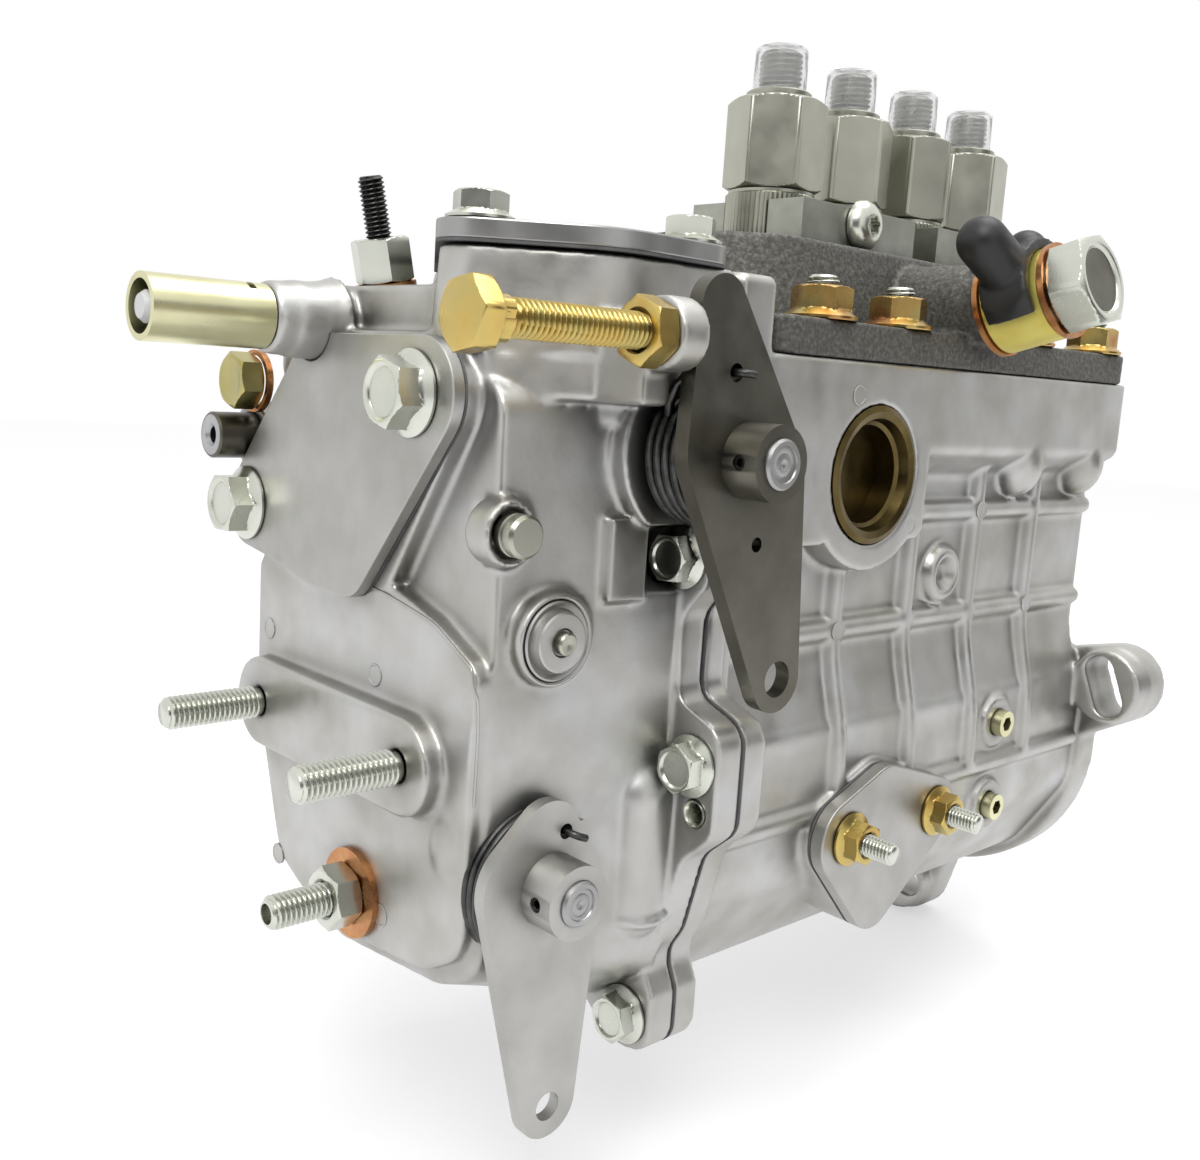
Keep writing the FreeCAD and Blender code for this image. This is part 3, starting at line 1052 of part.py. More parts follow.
def levers():
    solid, tools = lever("speed", speed_outline, lever_face, lever_thick, lever_x, lever_z, lever_shaft,
                         [(-216.9, 115.6, 1.9), (-206.4, 80.3, 1.6), (-195.8, 50, 4.1)])
    node("speed_lever", cut("speed_lever", solid, tools))
    node("speed_lever_shaft", fuse("speed_lever_shaft", [
        turned("speed_shaft_line", [
            (0, 0), (lever_shaft - 0.6, 0), (lever_shaft, 0.6), (lever_shaft, 52), (0, 52)],
            (lever_x, lever_face - lever_reach + 0.3, lever_z), "Y"),
        block("speed_shaft_arm", (lever_x - 4, -38, lever_z - 16), (lever_x + 4, -30, lever_z + 4))]))
    solid, tools = lever("stop", stop_outline, stop_face, stop_thick, stop_x, stop_z, stop_shaft,
                         [(-235.3, 18.4, 1.8), (-240.5, -44, 3.2)])
    node("stop_lever", cut("stop_lever", solid, tools))
    node("stop_lever_shaft", turned("stop_lever_shaft", [
        (0, 0), (stop_shaft - 0.6, 0), (stop_shaft, 0.6), (stop_shaft, 34), (0, 34)],
        (stop_x, stop_face - lever_reach + 0.3, stop_z), "Y"))
    wire = cell("spring_wire_radius", 1.1, "radius of the lever spring's wire").value
    radius = cell("spring_radius", 12.7, "mean radius of the lever spring").value
    turns, step = 4.5, 2.35
    helix = Part.makeHelix(step, turns * step, radius)
    start = Part.Wire(Part.makeCircle(wire, Vector(radius, 0, 0), Vector(0, 1, 0)))
    coil = Part.Wire(helix.Edges).makePipeShell([start], True, True)
    spring = shaped("lever_spring", coil)
    place(spring, (lever_x, -52 - wire - 0.6, lever_z), "-Y")
    node("lever_spring", spring)


pivot_x = cell("governor_pivot_x", -237, "X of the governor lever's pivot")
pivot_z = cell("governor_pivot_z", 24, "Z of the governor lever's pivot")
weight_pivot = cell("weight_pivot_radius", 20, "distance of the flyweights' pivots from the camshaft")
finger_low = cell("weight_finger_radius", 8.6, "distance of the fingers' tips from the camshaft")
weight_x = cell("weight_pivot_x", -208, "X of the flyweights' pivots")
weight_long = cell("weight_length", 14, "length of the flyweights behind their pivots")
weight_half = cell("weight_half_height", 4, "half height of the flyweights")
carrier_x = cell("weight_carrier_x", -203.5, "X of the outer face of the flyweight carrier")
sleeve_x = cell("governor_sleeve_x", -233.7, "X of the outer face of the governor sleeve")


def governor():
    hub = turned("carrier_hub", [(8, 0), (11, 0), (24, 0), (24, 4), (11, 4), (11, 6.5), (8, 6.5)],
                 (carrier_x, 0, 0), "X")
    ears = []
    for side in (1, -1):
        for near in (-6.5, 4.5):
            ears.append(block("carrier_ear", (weight_x - 4, near, side * weight_pivot - 3),
                              (carrier_x + 1, near + 2, side * weight_pivot + 3)))
    holes = [cylinder("pivot_hole", 1.5, 20, (weight_x, -10, side * weight_pivot), "Y") for side in (1, -1)]
    node("flyweight_carrier", cut("flyweight_carrier", fuse("carrier_solid", [hub] + ears), holes))
    for index, side in enumerate((1, -1)):
        mass = block("weight_mass", (weight_x - weight_long, -4.2, side * weight_pivot - weight_half),
                     (weight_x + 2, 4.2, side * weight_pivot + weight_half))
        middle = (weight_pivot + finger_low) / 2
        half = (weight_pivot - finger_low) / 2
        arm = block("weight_finger", (weight_x - 3, -4.2, side * middle - half),
                    (weight_x + 2, 4.2, side * middle + half))
        pin = cylinder("weight_pin", 1.5 - running, 13, (weight_x, -6.5, side * weight_pivot), "Y")
        node("flyweight_%d" % (index + 1), fuse("flyweight_%d" % (index + 1), [mass, arm, pin]))
    reach = weight_x - 3 - gap - sleeve_x
    node("governor_sleeve", turned("governor_sleeve", [
        (6 + running, 0), (10, 0), (10, 3), (8, 3), (8, reach - 3), (11, reach - 3), (11, reach),
        (6 + running, reach)], (sleeve_x, 0, 0), "X"))
    arm_y = 9
    lever_back = pivot_x - 3
    node("governor_lever", fuse("governor_lever", [
        block("lever_low", (lever_back, -arm_y, -4), (pivot_x, arm_y, pivot_z + 4)),
        block("lever_pad", (pivot_x - 1, -arm_y, -4), (pivot_x + 3, arm_y, 4)),
        block("lever_bridge", (lever_back, rack_y - 3, pivot_z - 4), (pivot_x + 3, arm_y, pivot_z + 4)),
        block("lever_high", (lever_back, rack_y - 3, pivot_z - 4), (pivot_x + 3, rack_y + 9, rack_z + 1)),
        cylinder("lever_pin", 3 - running, 64, (pivot_x, -32, pivot_z), "Y")]))
    spring_back = raise_x + wall
    node("governor_spring", ring("governor_spring", 5, 3, lever_back - gap - spring_back,
         (spring_back, rack_y + 3, 62), "X"))
    rod_x = pivot_x + 3 + gap
    rod = cylinder("rack_rod", rack_radius, -30 - rod_x, (rod_x, rack_y, rack_z), "X")
    teeth_solids = []
    pitch_y = -gear_radius
    for x in outlet_x:
        base = block("rack_base", (x - tooth_pitch * 4.75, rack_y, rack_z - 3.5),
                     (x + tooth_pitch * 1.75, pitch_y - tooth_high / 2, rack_z + 3.5))
        teeth_solids.append(base)
        for step in range(-4, 2):
            teeth_solids.append(rack_tooth(x + tooth_pitch * step, pitch_y))
    node("control_rack", fuse("control_rack", [rod] + teeth_solids))


def rack_tooth(x, pitch_y):
    x, pitch_y = as_size(x).value, as_size(pitch_y).value
    half, tall = tooth_pitch.value * 0.23, tooth_high.value / 2
    lean = tall * math.tan(math.radians(20))
    points = [Vector(x - half - lean, pitch_y - tall - 0.2, 0),
              Vector(x + half + lean, pitch_y - tall - 0.2, 0),
              Vector(x + half - lean * 0.8, pitch_y + tall * 0.8, 0),
              Vector(x - half + lean * 0.8, pitch_y + tall * 0.8, 0)]
    wire = Part.makePolygon(points + points[:1])
    wire.translate(Vector(0, 0, rack_z.value - 3.5))
    return shaped("rack_tooth", Part.Face(wire).extrude(Vector(0, 0, 7)))


def gear_shape():
    """The toothed ring of a control sleeve, about its own axis, with a gap towards -Y."""
    points = []
    radius, tall = gear_radius.value, tooth_high.value / 2
    for index in range(teeth):
        middle = -math.pi / 2 + 2 * math.pi * (index + 0.5) / teeth
        for lean, reach in ((-0.30, -tall), (-0.14, 0.8 * tall), (0.14, 0.8 * tall), (0.30, -tall)):
            angle = middle + lean * 2 * math.pi / teeth
            points.append(Vector((radius + reach) * math.cos(angle), (radius + reach) * math.sin(angle), 0))
    wire = Part.makePolygon(points + points[:1])
    return Part.Face(wire).extrude(Vector(0, 0, 7))


def control_elements():
    vane_low, vane_high = spring_top + seat_thick + 3, spring_top + seat_thick + 7
    low = spring_top + seat_thick + gap
    high = rack_z + 3.5
    foot_z = tappet_top + seat_thick + gap
    plunger_top = head_top - shank_long - 10
    for index, x in enumerate(outlet_x):
        gear = shaped("gear", gear_shape())
        place(gear, (x, 0, rack_z - 3.5), "Z")
        tube = cylinder("sleeve_tube", sleeve_radius, high - low, (x, 0, low))
        tube_bore = cylinder("sleeve_bore", neck_radius + running, high - low + 2, (x, 0, low - 1))
        slot = block("sleeve_slot", (x - 2.3, -sleeve_radius - 1, low - 1),
                     (x + 2.3, sleeve_radius + 1, vane_high + 4))
        sleeve = cut("control_sleeve", fuse("sleeve_solid", [gear, tube]), [tube_bore, slot])
        plunger = fuse("plunger", [
            cylinder("plunger_stem", plunger_radius, plunger_top - foot_z - 3, (x, 0, foot_z + 3)),
            cylinder("plunger_foot", 3.2, 4, (x, 0, foot_z)),
            block("plunger_vane", (x - 2, -sleeve_radius + 0.5, vane_low),
                  (x + 2, sleeve_radius - 0.5, vane_high))])
        node("pump_element_%d" % (index + 1), group("pump_element", [sleeve, plunger]))


for build in (pump_housing, governor_case, gaskets, m6_flange_bolts, covers, outlet_head, side_fasteners,
              outlets, inlet, small_fittings, weights_and_shaft, elements, levers, governor,
              control_elements):
    build()

doc.recompute()
failed = [obj.Name for obj in doc.Objects if "Invalid" in obj.State or "Error" in obj.State]
if failed:
    raise RuntimeError("failed objects: " + ", ".join(failed))
for obj in nodes:
    if obj.Shape.isNull() or not obj.Shape.isValid():
        raise RuntimeError("bad shape: " + obj.Label)

os.makedirs("parts", exist_ok=True)
for obj in nodes:
    obj.Shape.exportStep("parts/" + obj.Label + ".step")
print(len(nodes), "nodes")
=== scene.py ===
import json
import math

import bmesh
import bpy
import numpy as np
from mathutils import Matrix, Vector, noise
from mathutils.bvhtree import BVHTree


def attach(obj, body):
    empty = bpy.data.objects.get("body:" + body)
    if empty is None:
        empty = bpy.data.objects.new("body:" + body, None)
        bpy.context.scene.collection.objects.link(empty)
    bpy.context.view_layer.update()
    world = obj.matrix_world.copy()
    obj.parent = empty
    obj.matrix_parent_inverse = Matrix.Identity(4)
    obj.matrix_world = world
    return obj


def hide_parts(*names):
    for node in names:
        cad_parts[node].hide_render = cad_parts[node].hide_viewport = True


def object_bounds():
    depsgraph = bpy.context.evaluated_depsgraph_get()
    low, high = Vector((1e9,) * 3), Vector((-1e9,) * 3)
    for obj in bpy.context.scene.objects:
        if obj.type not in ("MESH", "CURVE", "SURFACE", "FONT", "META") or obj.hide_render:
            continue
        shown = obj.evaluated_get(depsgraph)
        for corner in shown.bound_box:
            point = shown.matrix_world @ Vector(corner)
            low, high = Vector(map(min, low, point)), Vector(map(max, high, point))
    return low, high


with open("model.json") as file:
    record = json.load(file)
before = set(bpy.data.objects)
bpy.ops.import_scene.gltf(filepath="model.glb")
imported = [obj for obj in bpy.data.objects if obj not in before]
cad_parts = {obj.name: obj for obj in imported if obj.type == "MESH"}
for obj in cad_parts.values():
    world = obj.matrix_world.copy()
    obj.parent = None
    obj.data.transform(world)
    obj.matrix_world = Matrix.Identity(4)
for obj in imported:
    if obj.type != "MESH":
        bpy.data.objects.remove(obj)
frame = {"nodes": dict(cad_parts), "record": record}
cad_low, cad_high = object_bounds()
bpy.context.scene.view_settings.view_transform = "Standard"

MM = 0.001

# The camera stands where the photographer stood.
CAMERA_AT = Vector((-408.9, -238.6, 112.7)) * MM
CAMERA_RIGHT = Vector((0.73629, -0.67382, 0.06211))
CAMERA_UP = Vector((0.06165, 0.15821, 0.98548))
CAMERA_AHEAD = Vector((0.67385, 0.72177, -0.15803))
LENS = 37.64
SENSOR = 36

# The four ways that most fittings point.
TO_LEVERS, TO_GOVERNOR, TO_TOP, TO_DRIVE = (0, -1, 0), (-1, 0, 0), (0, 0, 1), (1, 0, 0)

# How strongly the stage lights and glows.
SKY_LEVEL, FLOOR_GLOW = 0.55, 0.55
WHITE = (1, 1, 1, 1)

# The ends of a thread that are chamfered, as (start, stop).
BOTH, ROOTED, HEADED = (True, True), (False, True), (True, False)

# Angles in degrees past which an edge is drawn sharp.
SOFT_SHARP, THREAD_SHARP, FITTING_SHARP, PLATE_SHARP = 60, 50, 32, 18

# The middle part of a noise, over which a look changes from its first to its last value.
NOISE_FIRST, NOISE_LAST = 0.3, 0.7

# The corners of a round, and the rings in one turn of a thread.
ROUND, SMALL_ROUND, THREAD_STEPS = 96, 48, 8

# Sizes that the pieces share with the solids, in millimetres.
M6, M6_PITCH, M6_FLATS, M6_FLANGE, M6_HEAD = 3.0, 1, 10, 7.1, 5.8
M8, M8_PITCH, M8_FLATS, M8_FLANGE, M8_HEAD = 4.0, 1.25, 13, 8.95, 7.5
M6_CREST, M8_CREST = M6 - 0.05, M8 - 0.05
OUTLET_THREAD, OUTLET_PITCH = 6, 1.5
SLIM_FLATS = 12
CASE_FACE_X, COVER_TOP = -208, 142.3
REAR_PLATE_X = -264.1
JOINT_BOLTS = [(-57, 29), (-41.5, -37), (-50, 75)]
TOP_BOLTS = [(-253, -30), (-208, -45), (-208, 36)]
REAR_BOLTS = [(-24.5, 107.5), (44.5, 77.5)]
REAR_STUDS = (35.7, -24.9)
REAR_STUD_Z = 29.5
REAR_WALL_X, REAR_STUD_X, REAR_BOSS_X = -260, -265, -263
ADJUSTER = (-2.4, -7.5)
PLUG = (45, 107)
NIPPLE = (50.6, 93.5)
LIMITER_BOSS_AT = (-275.8, 16.3, 121.5)
DOWEL_X, DOWEL_Z = -255, 81.5
DISC_X, DISC_Z = -244, 59.5
DECK_Z = 130
NEAR_STUDS = [(x, -46) for x in (-162, -130, -66, -24)]
FAR_STUDS = [(x, 46) for x in (-162, -130, -98, -66, -24)]
SIDE_STUDS = (-145.5, -105.5)
SIDE_Y, SIDE_Z = -57.6, -1
HEAD_TOP = 152
OUTLETS = (-130, -98, -66, -34)
HOLDER_TURNS = (8, 24, 38, 14)
RIBS = [x - 14.5 for x in OUTLETS]
WALL_Y, WALL_REAR, WALL_FRONT = 44.2, -188, -14
HIGH_RIB_Z, LOW_RIB_Z, FOOT_RIB_Z = 82, 52, 5
SHAFT_NUT_X = 27
SPEED_HUB = (-211.4, 98)
STOP_HUB = (-243.2, 6.6)
STOP_HOLE = (-239.8, 18.6)
SCREW_Y, SCREW_Z = -67.4, 122
SCREW_HEAD_X, SCREW_NUT_X, SCREW_CREST, SCREW_PITCH = -279.3, -238.3, 3.55, 1.25
LEAN = math.radians(12.5)
SLANT = Vector((-math.sin(LEAN), 0, math.cos(LEAN)))
SLANT_AT = Vector((-246, 14, 130))
HOLE_AT = (-208, -58.9, 18.3)
EAR_ANGLES = (158, 278, 38)
EAR_DISTANCE, SLOT_RADIUS, SLOT_HALF = 65, 4.5, 5.5
TILT = math.radians(16)
INLET = Vector((0, -math.cos(TILT), math.sin(TILT)))
INLET_AT = Vector((-98, -24.5, 128.4))
INLET_BOSS, COPPER, BANJO_HIGH = 32, 1.5, 17


# Camera, lamps and floor.
def make_camera():
    data = bpy.data.cameras.new("camera")
    data.lens = LENS
    data.sensor_width = SENSOR
    camera = bpy.data.objects.new("camera", data)
    bpy.context.scene.collection.objects.link(camera)
    turn = Matrix((CAMERA_RIGHT, CAMERA_UP, -CAMERA_AHEAD)).transposed()
    camera.matrix_world = Matrix.Translation(CAMERA_AT) @ turn.to_4x4()
    bpy.context.scene.camera = camera


def make_lamp(name, at, size, power):
    """A soft square lamp that points at the middle of the pump."""
    data = bpy.data.lights.new(name, "AREA")
    data.shape = "SQUARE"
    data.size = size
    data.energy = power
    lamp = bpy.data.objects.new(name, data)
    bpy.context.scene.collection.objects.link(lamp)
    lamp.location = at
    middle = (cad_low + cad_high) / 2
    lamp.rotation_euler = (middle - Vector(at)).to_track_quat("-Z", "Y").to_euler()


def seen_directly(tree):
    """One for camera, glossy and transmission rays, and nought for the rays that light the pump."""
    path = tree.nodes.new("ShaderNodeLightPath")
    total = path.outputs["Is Camera Ray"]
    for ray in ("Is Glossy Ray", "Is Transmission Ray"):
        add = tree.nodes.new("ShaderNodeMath")
        add.operation = "MAXIMUM"
        tree.links.new(total, add.inputs[0])
        tree.links.new(path.outputs[ray], add.inputs[1])
        total = add.outputs[0]
    return total


def make_world():
    world = bpy.data.worlds.new("world")
    bpy.context.scene.world = world
    world.use_nodes = True
    tree = world.node_tree
    strength = tree.nodes.new("ShaderNodeMapRange")
    strength.inputs["To Min"].default_value = SKY_LEVEL
    strength.inputs["To Max"].default_value = 1.0
    background = tree.nodes["Background"]
    background.inputs["Color"].default_value = WHITE
    tree.links.new(seen_directly(tree), strength.inputs["Value"])
    tree.links.new(strength.outputs["Result"], background.inputs["Strength"])


def make_sheet(name, half, z, colour, roughness):
    """A square sheet of one colour for the stage, with its node tree."""
    mesh = bpy.data.meshes.new(name)
    corners = [(-half, -half, z), (half, -half, z), (half, half, z), (-half, half, z)]
    mesh.from_pydata(corners, [], [(0, 1, 2, 3)])
    sheet = bpy.data.objects.new(name, mesh)
    bpy.context.scene.collection.objects.link(sheet)
    material = bpy.data.materials.new(name)
    material.use_nodes = True
    shader = material.node_tree.nodes["Principled BSDF"]
    shader.inputs["Base Color"].default_value = (*colour, 1)
    shader.inputs["Roughness"].default_value = roughness
    mesh.materials.append(material)
    return sheet, material.node_tree


def make_floor():
    """A floor that keeps the pump's shadow and looks white where nothing shades it."""
    half, gap = 3.0, 0.0004
    _, tree = make_sheet("floor", half, cad_low.z - gap, (0.56, 0.56, 0.58), 0.6)
    shader = tree.nodes["Principled BSDF"]
    shader.inputs["Emission Color"].default_value = WHITE
    own = tree.nodes.new("ShaderNodeMath")
    own.operation = "MULTIPLY"
    own.inputs[1].default_value = FLOOR_GLOW
    tree.links.new(seen_directly(tree), own.inputs[0])
    tree.links.new(own.outputs[0], shader.inputs["Emission Strength"])


def make_card(name, at, side, level):
    """An upright card outside the picture, which the bright metal reflects."""
    card, _ = make_sheet(name, side / 2, 0, (level, level, level), 0.8)
    card.location = at
    middle = (cad_low + cad_high) / 2
    card.rotation_euler = (middle - Vector(at)).to_track_quat("Z", "Y").to_euler()
    card.visible_camera = False


# Materials. Their noise is measured in millimetres on the object.
def noise_of(tree, size, detail=3.0):
    coords = tree.nodes.new("ShaderNodeTexCoord")
    texture = tree.nodes.new("ShaderNodeTexNoise")
    texture.inputs["Scale"].default_value = 1 / (size * MM)
    texture.inputs["Detail"].default_value = detail
    tree.links.new(coords.outputs["Object"], texture.inputs["Vector"])
    return texture.outputs["Fac"]


def ramp_of(tree, value, stops):
    ramp = tree.nodes.new("ShaderNodeValToRGB")
    while len(ramp.color_ramp.elements) < len(stops):
        ramp.color_ramp.elements.new(0.5)
    for element, (position, colour) in zip(ramp.color_ramp.elements, stops):
        element.position = position
        element.color = (*colour, 1)
    tree.links.new(value, ramp.inputs["Fac"])
    return ramp.outputs["Color"]


def painted_corner_shade(tree, colour, reach, darkest):
    """Paints shade into a colour: darkens it in corners and hollows, by how closely the nearby surfaces shut
    them in.
    """
    occlusion = tree.nodes.new("ShaderNodeAmbientOcclusion")
    occlusion.samples = 6
    occlusion.inputs["Distance"].default_value = reach * MM
    shade = ramp_of(tree, occlusion.outputs["AO"], [(0.25, (darkest,) * 3), (0.95, (1, 1, 1))])
    mix = tree.nodes.new("ShaderNodeMix")
    mix.data_type = "RGBA"
    mix.blend_type = "MULTIPLY"
    mix.inputs["Factor"].default_value = 1
    tree.links.new(colour, mix.inputs["A"])
    tree.links.new(shade, mix.inputs["B"])
    return mix.outputs["Result"]


def look(name, colours, patch, rough, grain, metallic=1.0, painted_shade=None):
    """A material whose colour and roughness wander, with fine bumps given as (size, height), and painted
    shade in its hollows given as (reach, darkest).
    """
    material = bpy.data.materials.new(name)
    material.use_nodes = True
    tree = material.node_tree
    shader = tree.nodes["Principled BSDF"]
    shader.inputs["Metallic"].default_value = metallic
    step = (NOISE_LAST - NOISE_FIRST) / (len(colours) - 1)
    stops = [(NOISE_FIRST + step * index, colour) for index, colour in enumerate(colours)]
    colour = ramp_of(tree, noise_of(tree, patch, 4.0), stops)
    # Painted shade: the colour is darkened in corners and hollows.
    if painted_shade:
        colour = painted_corner_shade(tree, colour, *painted_shade)
    tree.links.new(colour, shader.inputs["Base Color"])
    spread = tree.nodes.new("ShaderNodeMapRange")
    spread.inputs["From Min"].default_value = NOISE_FIRST
    spread.inputs["From Max"].default_value = NOISE_LAST
    spread.inputs["To Min"].default_value = rough[0]
    spread.inputs["To Max"].default_value = rough[1]
    tree.links.new(noise_of(tree, patch * 0.6, 5.0), spread.inputs["Value"])
    tree.links.new(spread.outputs["Result"], shader.inputs["Roughness"])
    normal = None
    for size, height in grain:
        bump = tree.nodes.new("ShaderNodeBump")
        bump.inputs["Strength"].default_value = 1
        bump.inputs["Distance"].default_value = height * MM
        tree.links.new(noise_of(tree, size), bump.inputs["Height"])
        if normal:
            tree.links.new(normal, bump.inputs["Normal"])
        normal = bump.outputs["Normal"]
    tree.links.new(normal, shader.inputs["Normal"])
    return material


def grey(level, warm=0.0):
    return (level, level * (1 - 0.2 * warm), level * (1 - warm))


def make_looks():
    """One material for each finish, with sizes in millimetres. Most of them darken their hollows with
    painted shade.
    """
    settings = {
        "cast_aluminium": dict(colours=[grey(0.43, 0.12), grey(0.50, 0.07), grey(0.56, 0.02)], patch=18,
                               rough=(0.32, 0.5), grain=[(11, 0.10), (1.1, 0.02), (0.4, 0.008)],
                               metallic=0.92, painted_shade=(10, 0.35)),
        "gasket_paper": dict(colours=[grey(0.10), grey(0.16)], patch=4, rough=(0.7, 0.9),
                             grain=[(0.5, 0.02)], metallic=0.0),
        "zinc_steel": dict(colours=[(0.60, 0.62, 0.54), (0.68, 0.69, 0.62)], patch=12,
                           rough=(0.22, 0.30), grain=[(0.5, 0.004)], painted_shade=(2.5, 0.5)),
        "holder_zinc": dict(colours=[(0.41, 0.41, 0.34), (0.48, 0.48, 0.41)], patch=14,
                            rough=(0.30, 0.40), grain=[(0.4, 0.005)], painted_shade=(5, 0.45)),
        "cover_steel": dict(colours=[grey(0.34, 0.03), grey(0.42, 0.02)], patch=14, rough=(0.34, 0.46),
                            grain=[(0.5, 0.010)], painted_shade=(4, 0.5)),
        "cast_iron": dict(colours=[grey(0.08, 0.16), grey(0.125, 0.14), grey(0.20, 0.12)], patch=1.1,
                          rough=(0.45, 0.7), grain=[(0.9, 0.2), (0.35, 0.05)], metallic=0.45,
                          painted_shade=(6, 0.4)),
        "yellow_zinc": dict(colours=[(0.52, 0.33, 0.09), (0.61, 0.45, 0.14), (0.52, 0.44, 0.17)],
                            patch=12, rough=(0.24, 0.34), grain=[(0.5, 0.005)], painted_shade=(3, 0.4)),
        "olive_zinc": dict(colours=[(0.42, 0.36, 0.13), (0.50, 0.45, 0.20)], patch=9,
                           rough=(0.24, 0.34), grain=[(0.5, 0.005)], painted_shade=(3, 0.4)),
        "bronze_zinc": dict(colours=[(0.44, 0.21, 0.08), (0.54, 0.36, 0.12), (0.50, 0.42, 0.17)],
                            patch=8, rough=(0.24, 0.34), grain=[(0.5, 0.004)], painted_shade=(3, 0.4)),
        "lock_bar_steel": dict(colours=[(0.33, 0.34, 0.29), (0.44, 0.45, 0.40)], patch=8,
                               rough=(0.34, 0.48), grain=[(0.4, 0.010)], painted_shade=(5, 0.45)),
        "banjo_brass": dict(colours=[(0.90, 0.74, 0.16), (0.95, 0.84, 0.24)], patch=8,
                            rough=(0.30, 0.42), grain=[(0.5, 0.012)], metallic=0.75, painted_shade=(4, 0.4)),
        "black_rubber": dict(colours=[grey(0.012), grey(0.022)], patch=6, rough=(0.38, 0.52),
                             grain=[(0.8, 0.02)], metallic=0.0),
        "copper": dict(colours=[(0.44, 0.18, 0.07), (0.56, 0.28, 0.12)], patch=4, rough=(0.24, 0.36),
                       grain=[(0.5, 0.006)]),
        "olive_brass": dict(colours=[(0.07, 0.05, 0.018), (0.16, 0.12, 0.045)], patch=9,
                            rough=(0.26, 0.40), grain=[(0.6, 0.012)], painted_shade=(8, 0.35)),
        "brass": dict(colours=[(0.62, 0.60, 0.34), (0.78, 0.76, 0.50)], patch=16, rough=(0.26, 0.34),
                      grain=[(0.4, 0.004)], painted_shade=(4, 0.45)),
        "white_plastic": dict(colours=[grey(0.74), grey(0.82)], patch=5, rough=(0.35, 0.45),
                              grain=[(0.6, 0.006)], metallic=0.0),
        "dark_steel": dict(colours=[grey(0.05, 0.03), grey(0.11, 0.03)], patch=3, rough=(0.3, 0.45),
                           grain=[(0.4, 0.010)], painted_shade=(2.5, 0.35)),
        "lever_steel": dict(colours=[grey(0.12, 0.25), grey(0.17, 0.20)], patch=12, rough=(0.32, 0.42),
                            grain=[(0.45, 0.012)], painted_shade=(4, 0.5)),
        "plate_steel": dict(colours=[grey(0.40, 0.08), grey(0.50, 0.05)], patch=16, rough=(0.36, 0.48),
                            grain=[(0.45, 0.012)], painted_shade=(4, 0.5)),
        "machined_steel": dict(colours=[grey(0.42), grey(0.52)], patch=12, rough=(0.28, 0.36),
                               grain=[(1.2, 0.004)], painted_shade=(5, 0.4)),
        "clear_plastic": dict(colours=[grey(0.97), grey(0.99)], patch=5, rough=(0.04, 0.09),
                              grain=[(2, 0.01)], metallic=0.0),
    }
    looks = {name: look(name, **values) for name, values in settings.items()}
    shader = looks["clear_plastic"].node_tree.nodes["Principled BSDF"]
    shader.inputs["Transmission Weight"].default_value = 0.86
    shader.inputs["IOR"].default_value = 1.2
    return looks


# Pieces. Everything is given in millimetres in the frame of the solids.
def placing(at, axis, spin=0.0):
    """Stands local Z along the axis, turned round it by an angle in degrees."""
    turn = Vector(TO_TOP).rotation_difference(Vector(axis).normalized()).to_matrix().to_4x4()
    return Matrix.Translation(Vector(at)) @ turn @ Matrix.Rotation(math.radians(spin), 4, "Z")


def flat_sided(angles, flats, sides=6):
    """The distance of a regular prism's wall from its axis, at each angle."""
    sector = 2 * math.pi / sides
    return (flats / 2) / np.cos(np.mod(angles, sector) - sector / 2)


def hull(circles):
    """The belt round circles given as (X, Y, radius), as corners that run anticlockwise."""
    steps = 64
    turns = [2 * math.pi * step / steps for step in range(steps)]
    points = sorted((x + r * math.cos(turn), y + r * math.sin(turn))
                    for x, y, r in circles for turn in turns)
    sides = []
    for run in (points, points[::-1]):
        side = []
        for point in run:
            while len(side) > 1 and turns_right(side[-2], side[-1], point):
                side.pop()
            side.append(point)
        sides += side[:-1]
    return sides


def turns_right(first, second, third):
    """True if the way over three corners bends to the right or goes straight on."""
    return ((second[0] - first[0]) * (third[1] - first[1])
            - (second[1] - first[1]) * (third[0] - first[0])) <= 0


def evened(outline, count=120):
    """The same outline with corners at even steps, from its point nearest to +X."""
    outline = np.array(outline)
    outline = np.roll(outline, -int(np.argmax(outline[:, 0])), axis=0)
    outline = np.vstack([outline, outline[:1]])
    lengths = np.concatenate([[0], np.cumsum(np.linalg.norm(np.diff(outline, axis=0), axis=1))])
    spots = np.linspace(0, lengths[-1], count, endpoint=False)
    return [(float(np.interp(spot, lengths, outline[:, 0])), float(np.interp(spot, lengths, outline[:, 1])))
            for spot in spots]


def band(low, high, count):
    """The faces between two rings of points, each given by its number in the row of rings."""
    afters = [(index, (index + 1) % count) for index in range(count)]
    return [(low * count + index, low * count + after, high * count + after, high * count + index)
            for index, after in afters]


def ends(last, count):
    """The faces that close the first and the last ring."""
    return [tuple(reversed(range(count))), tuple(last * count + index for index in range(count))]


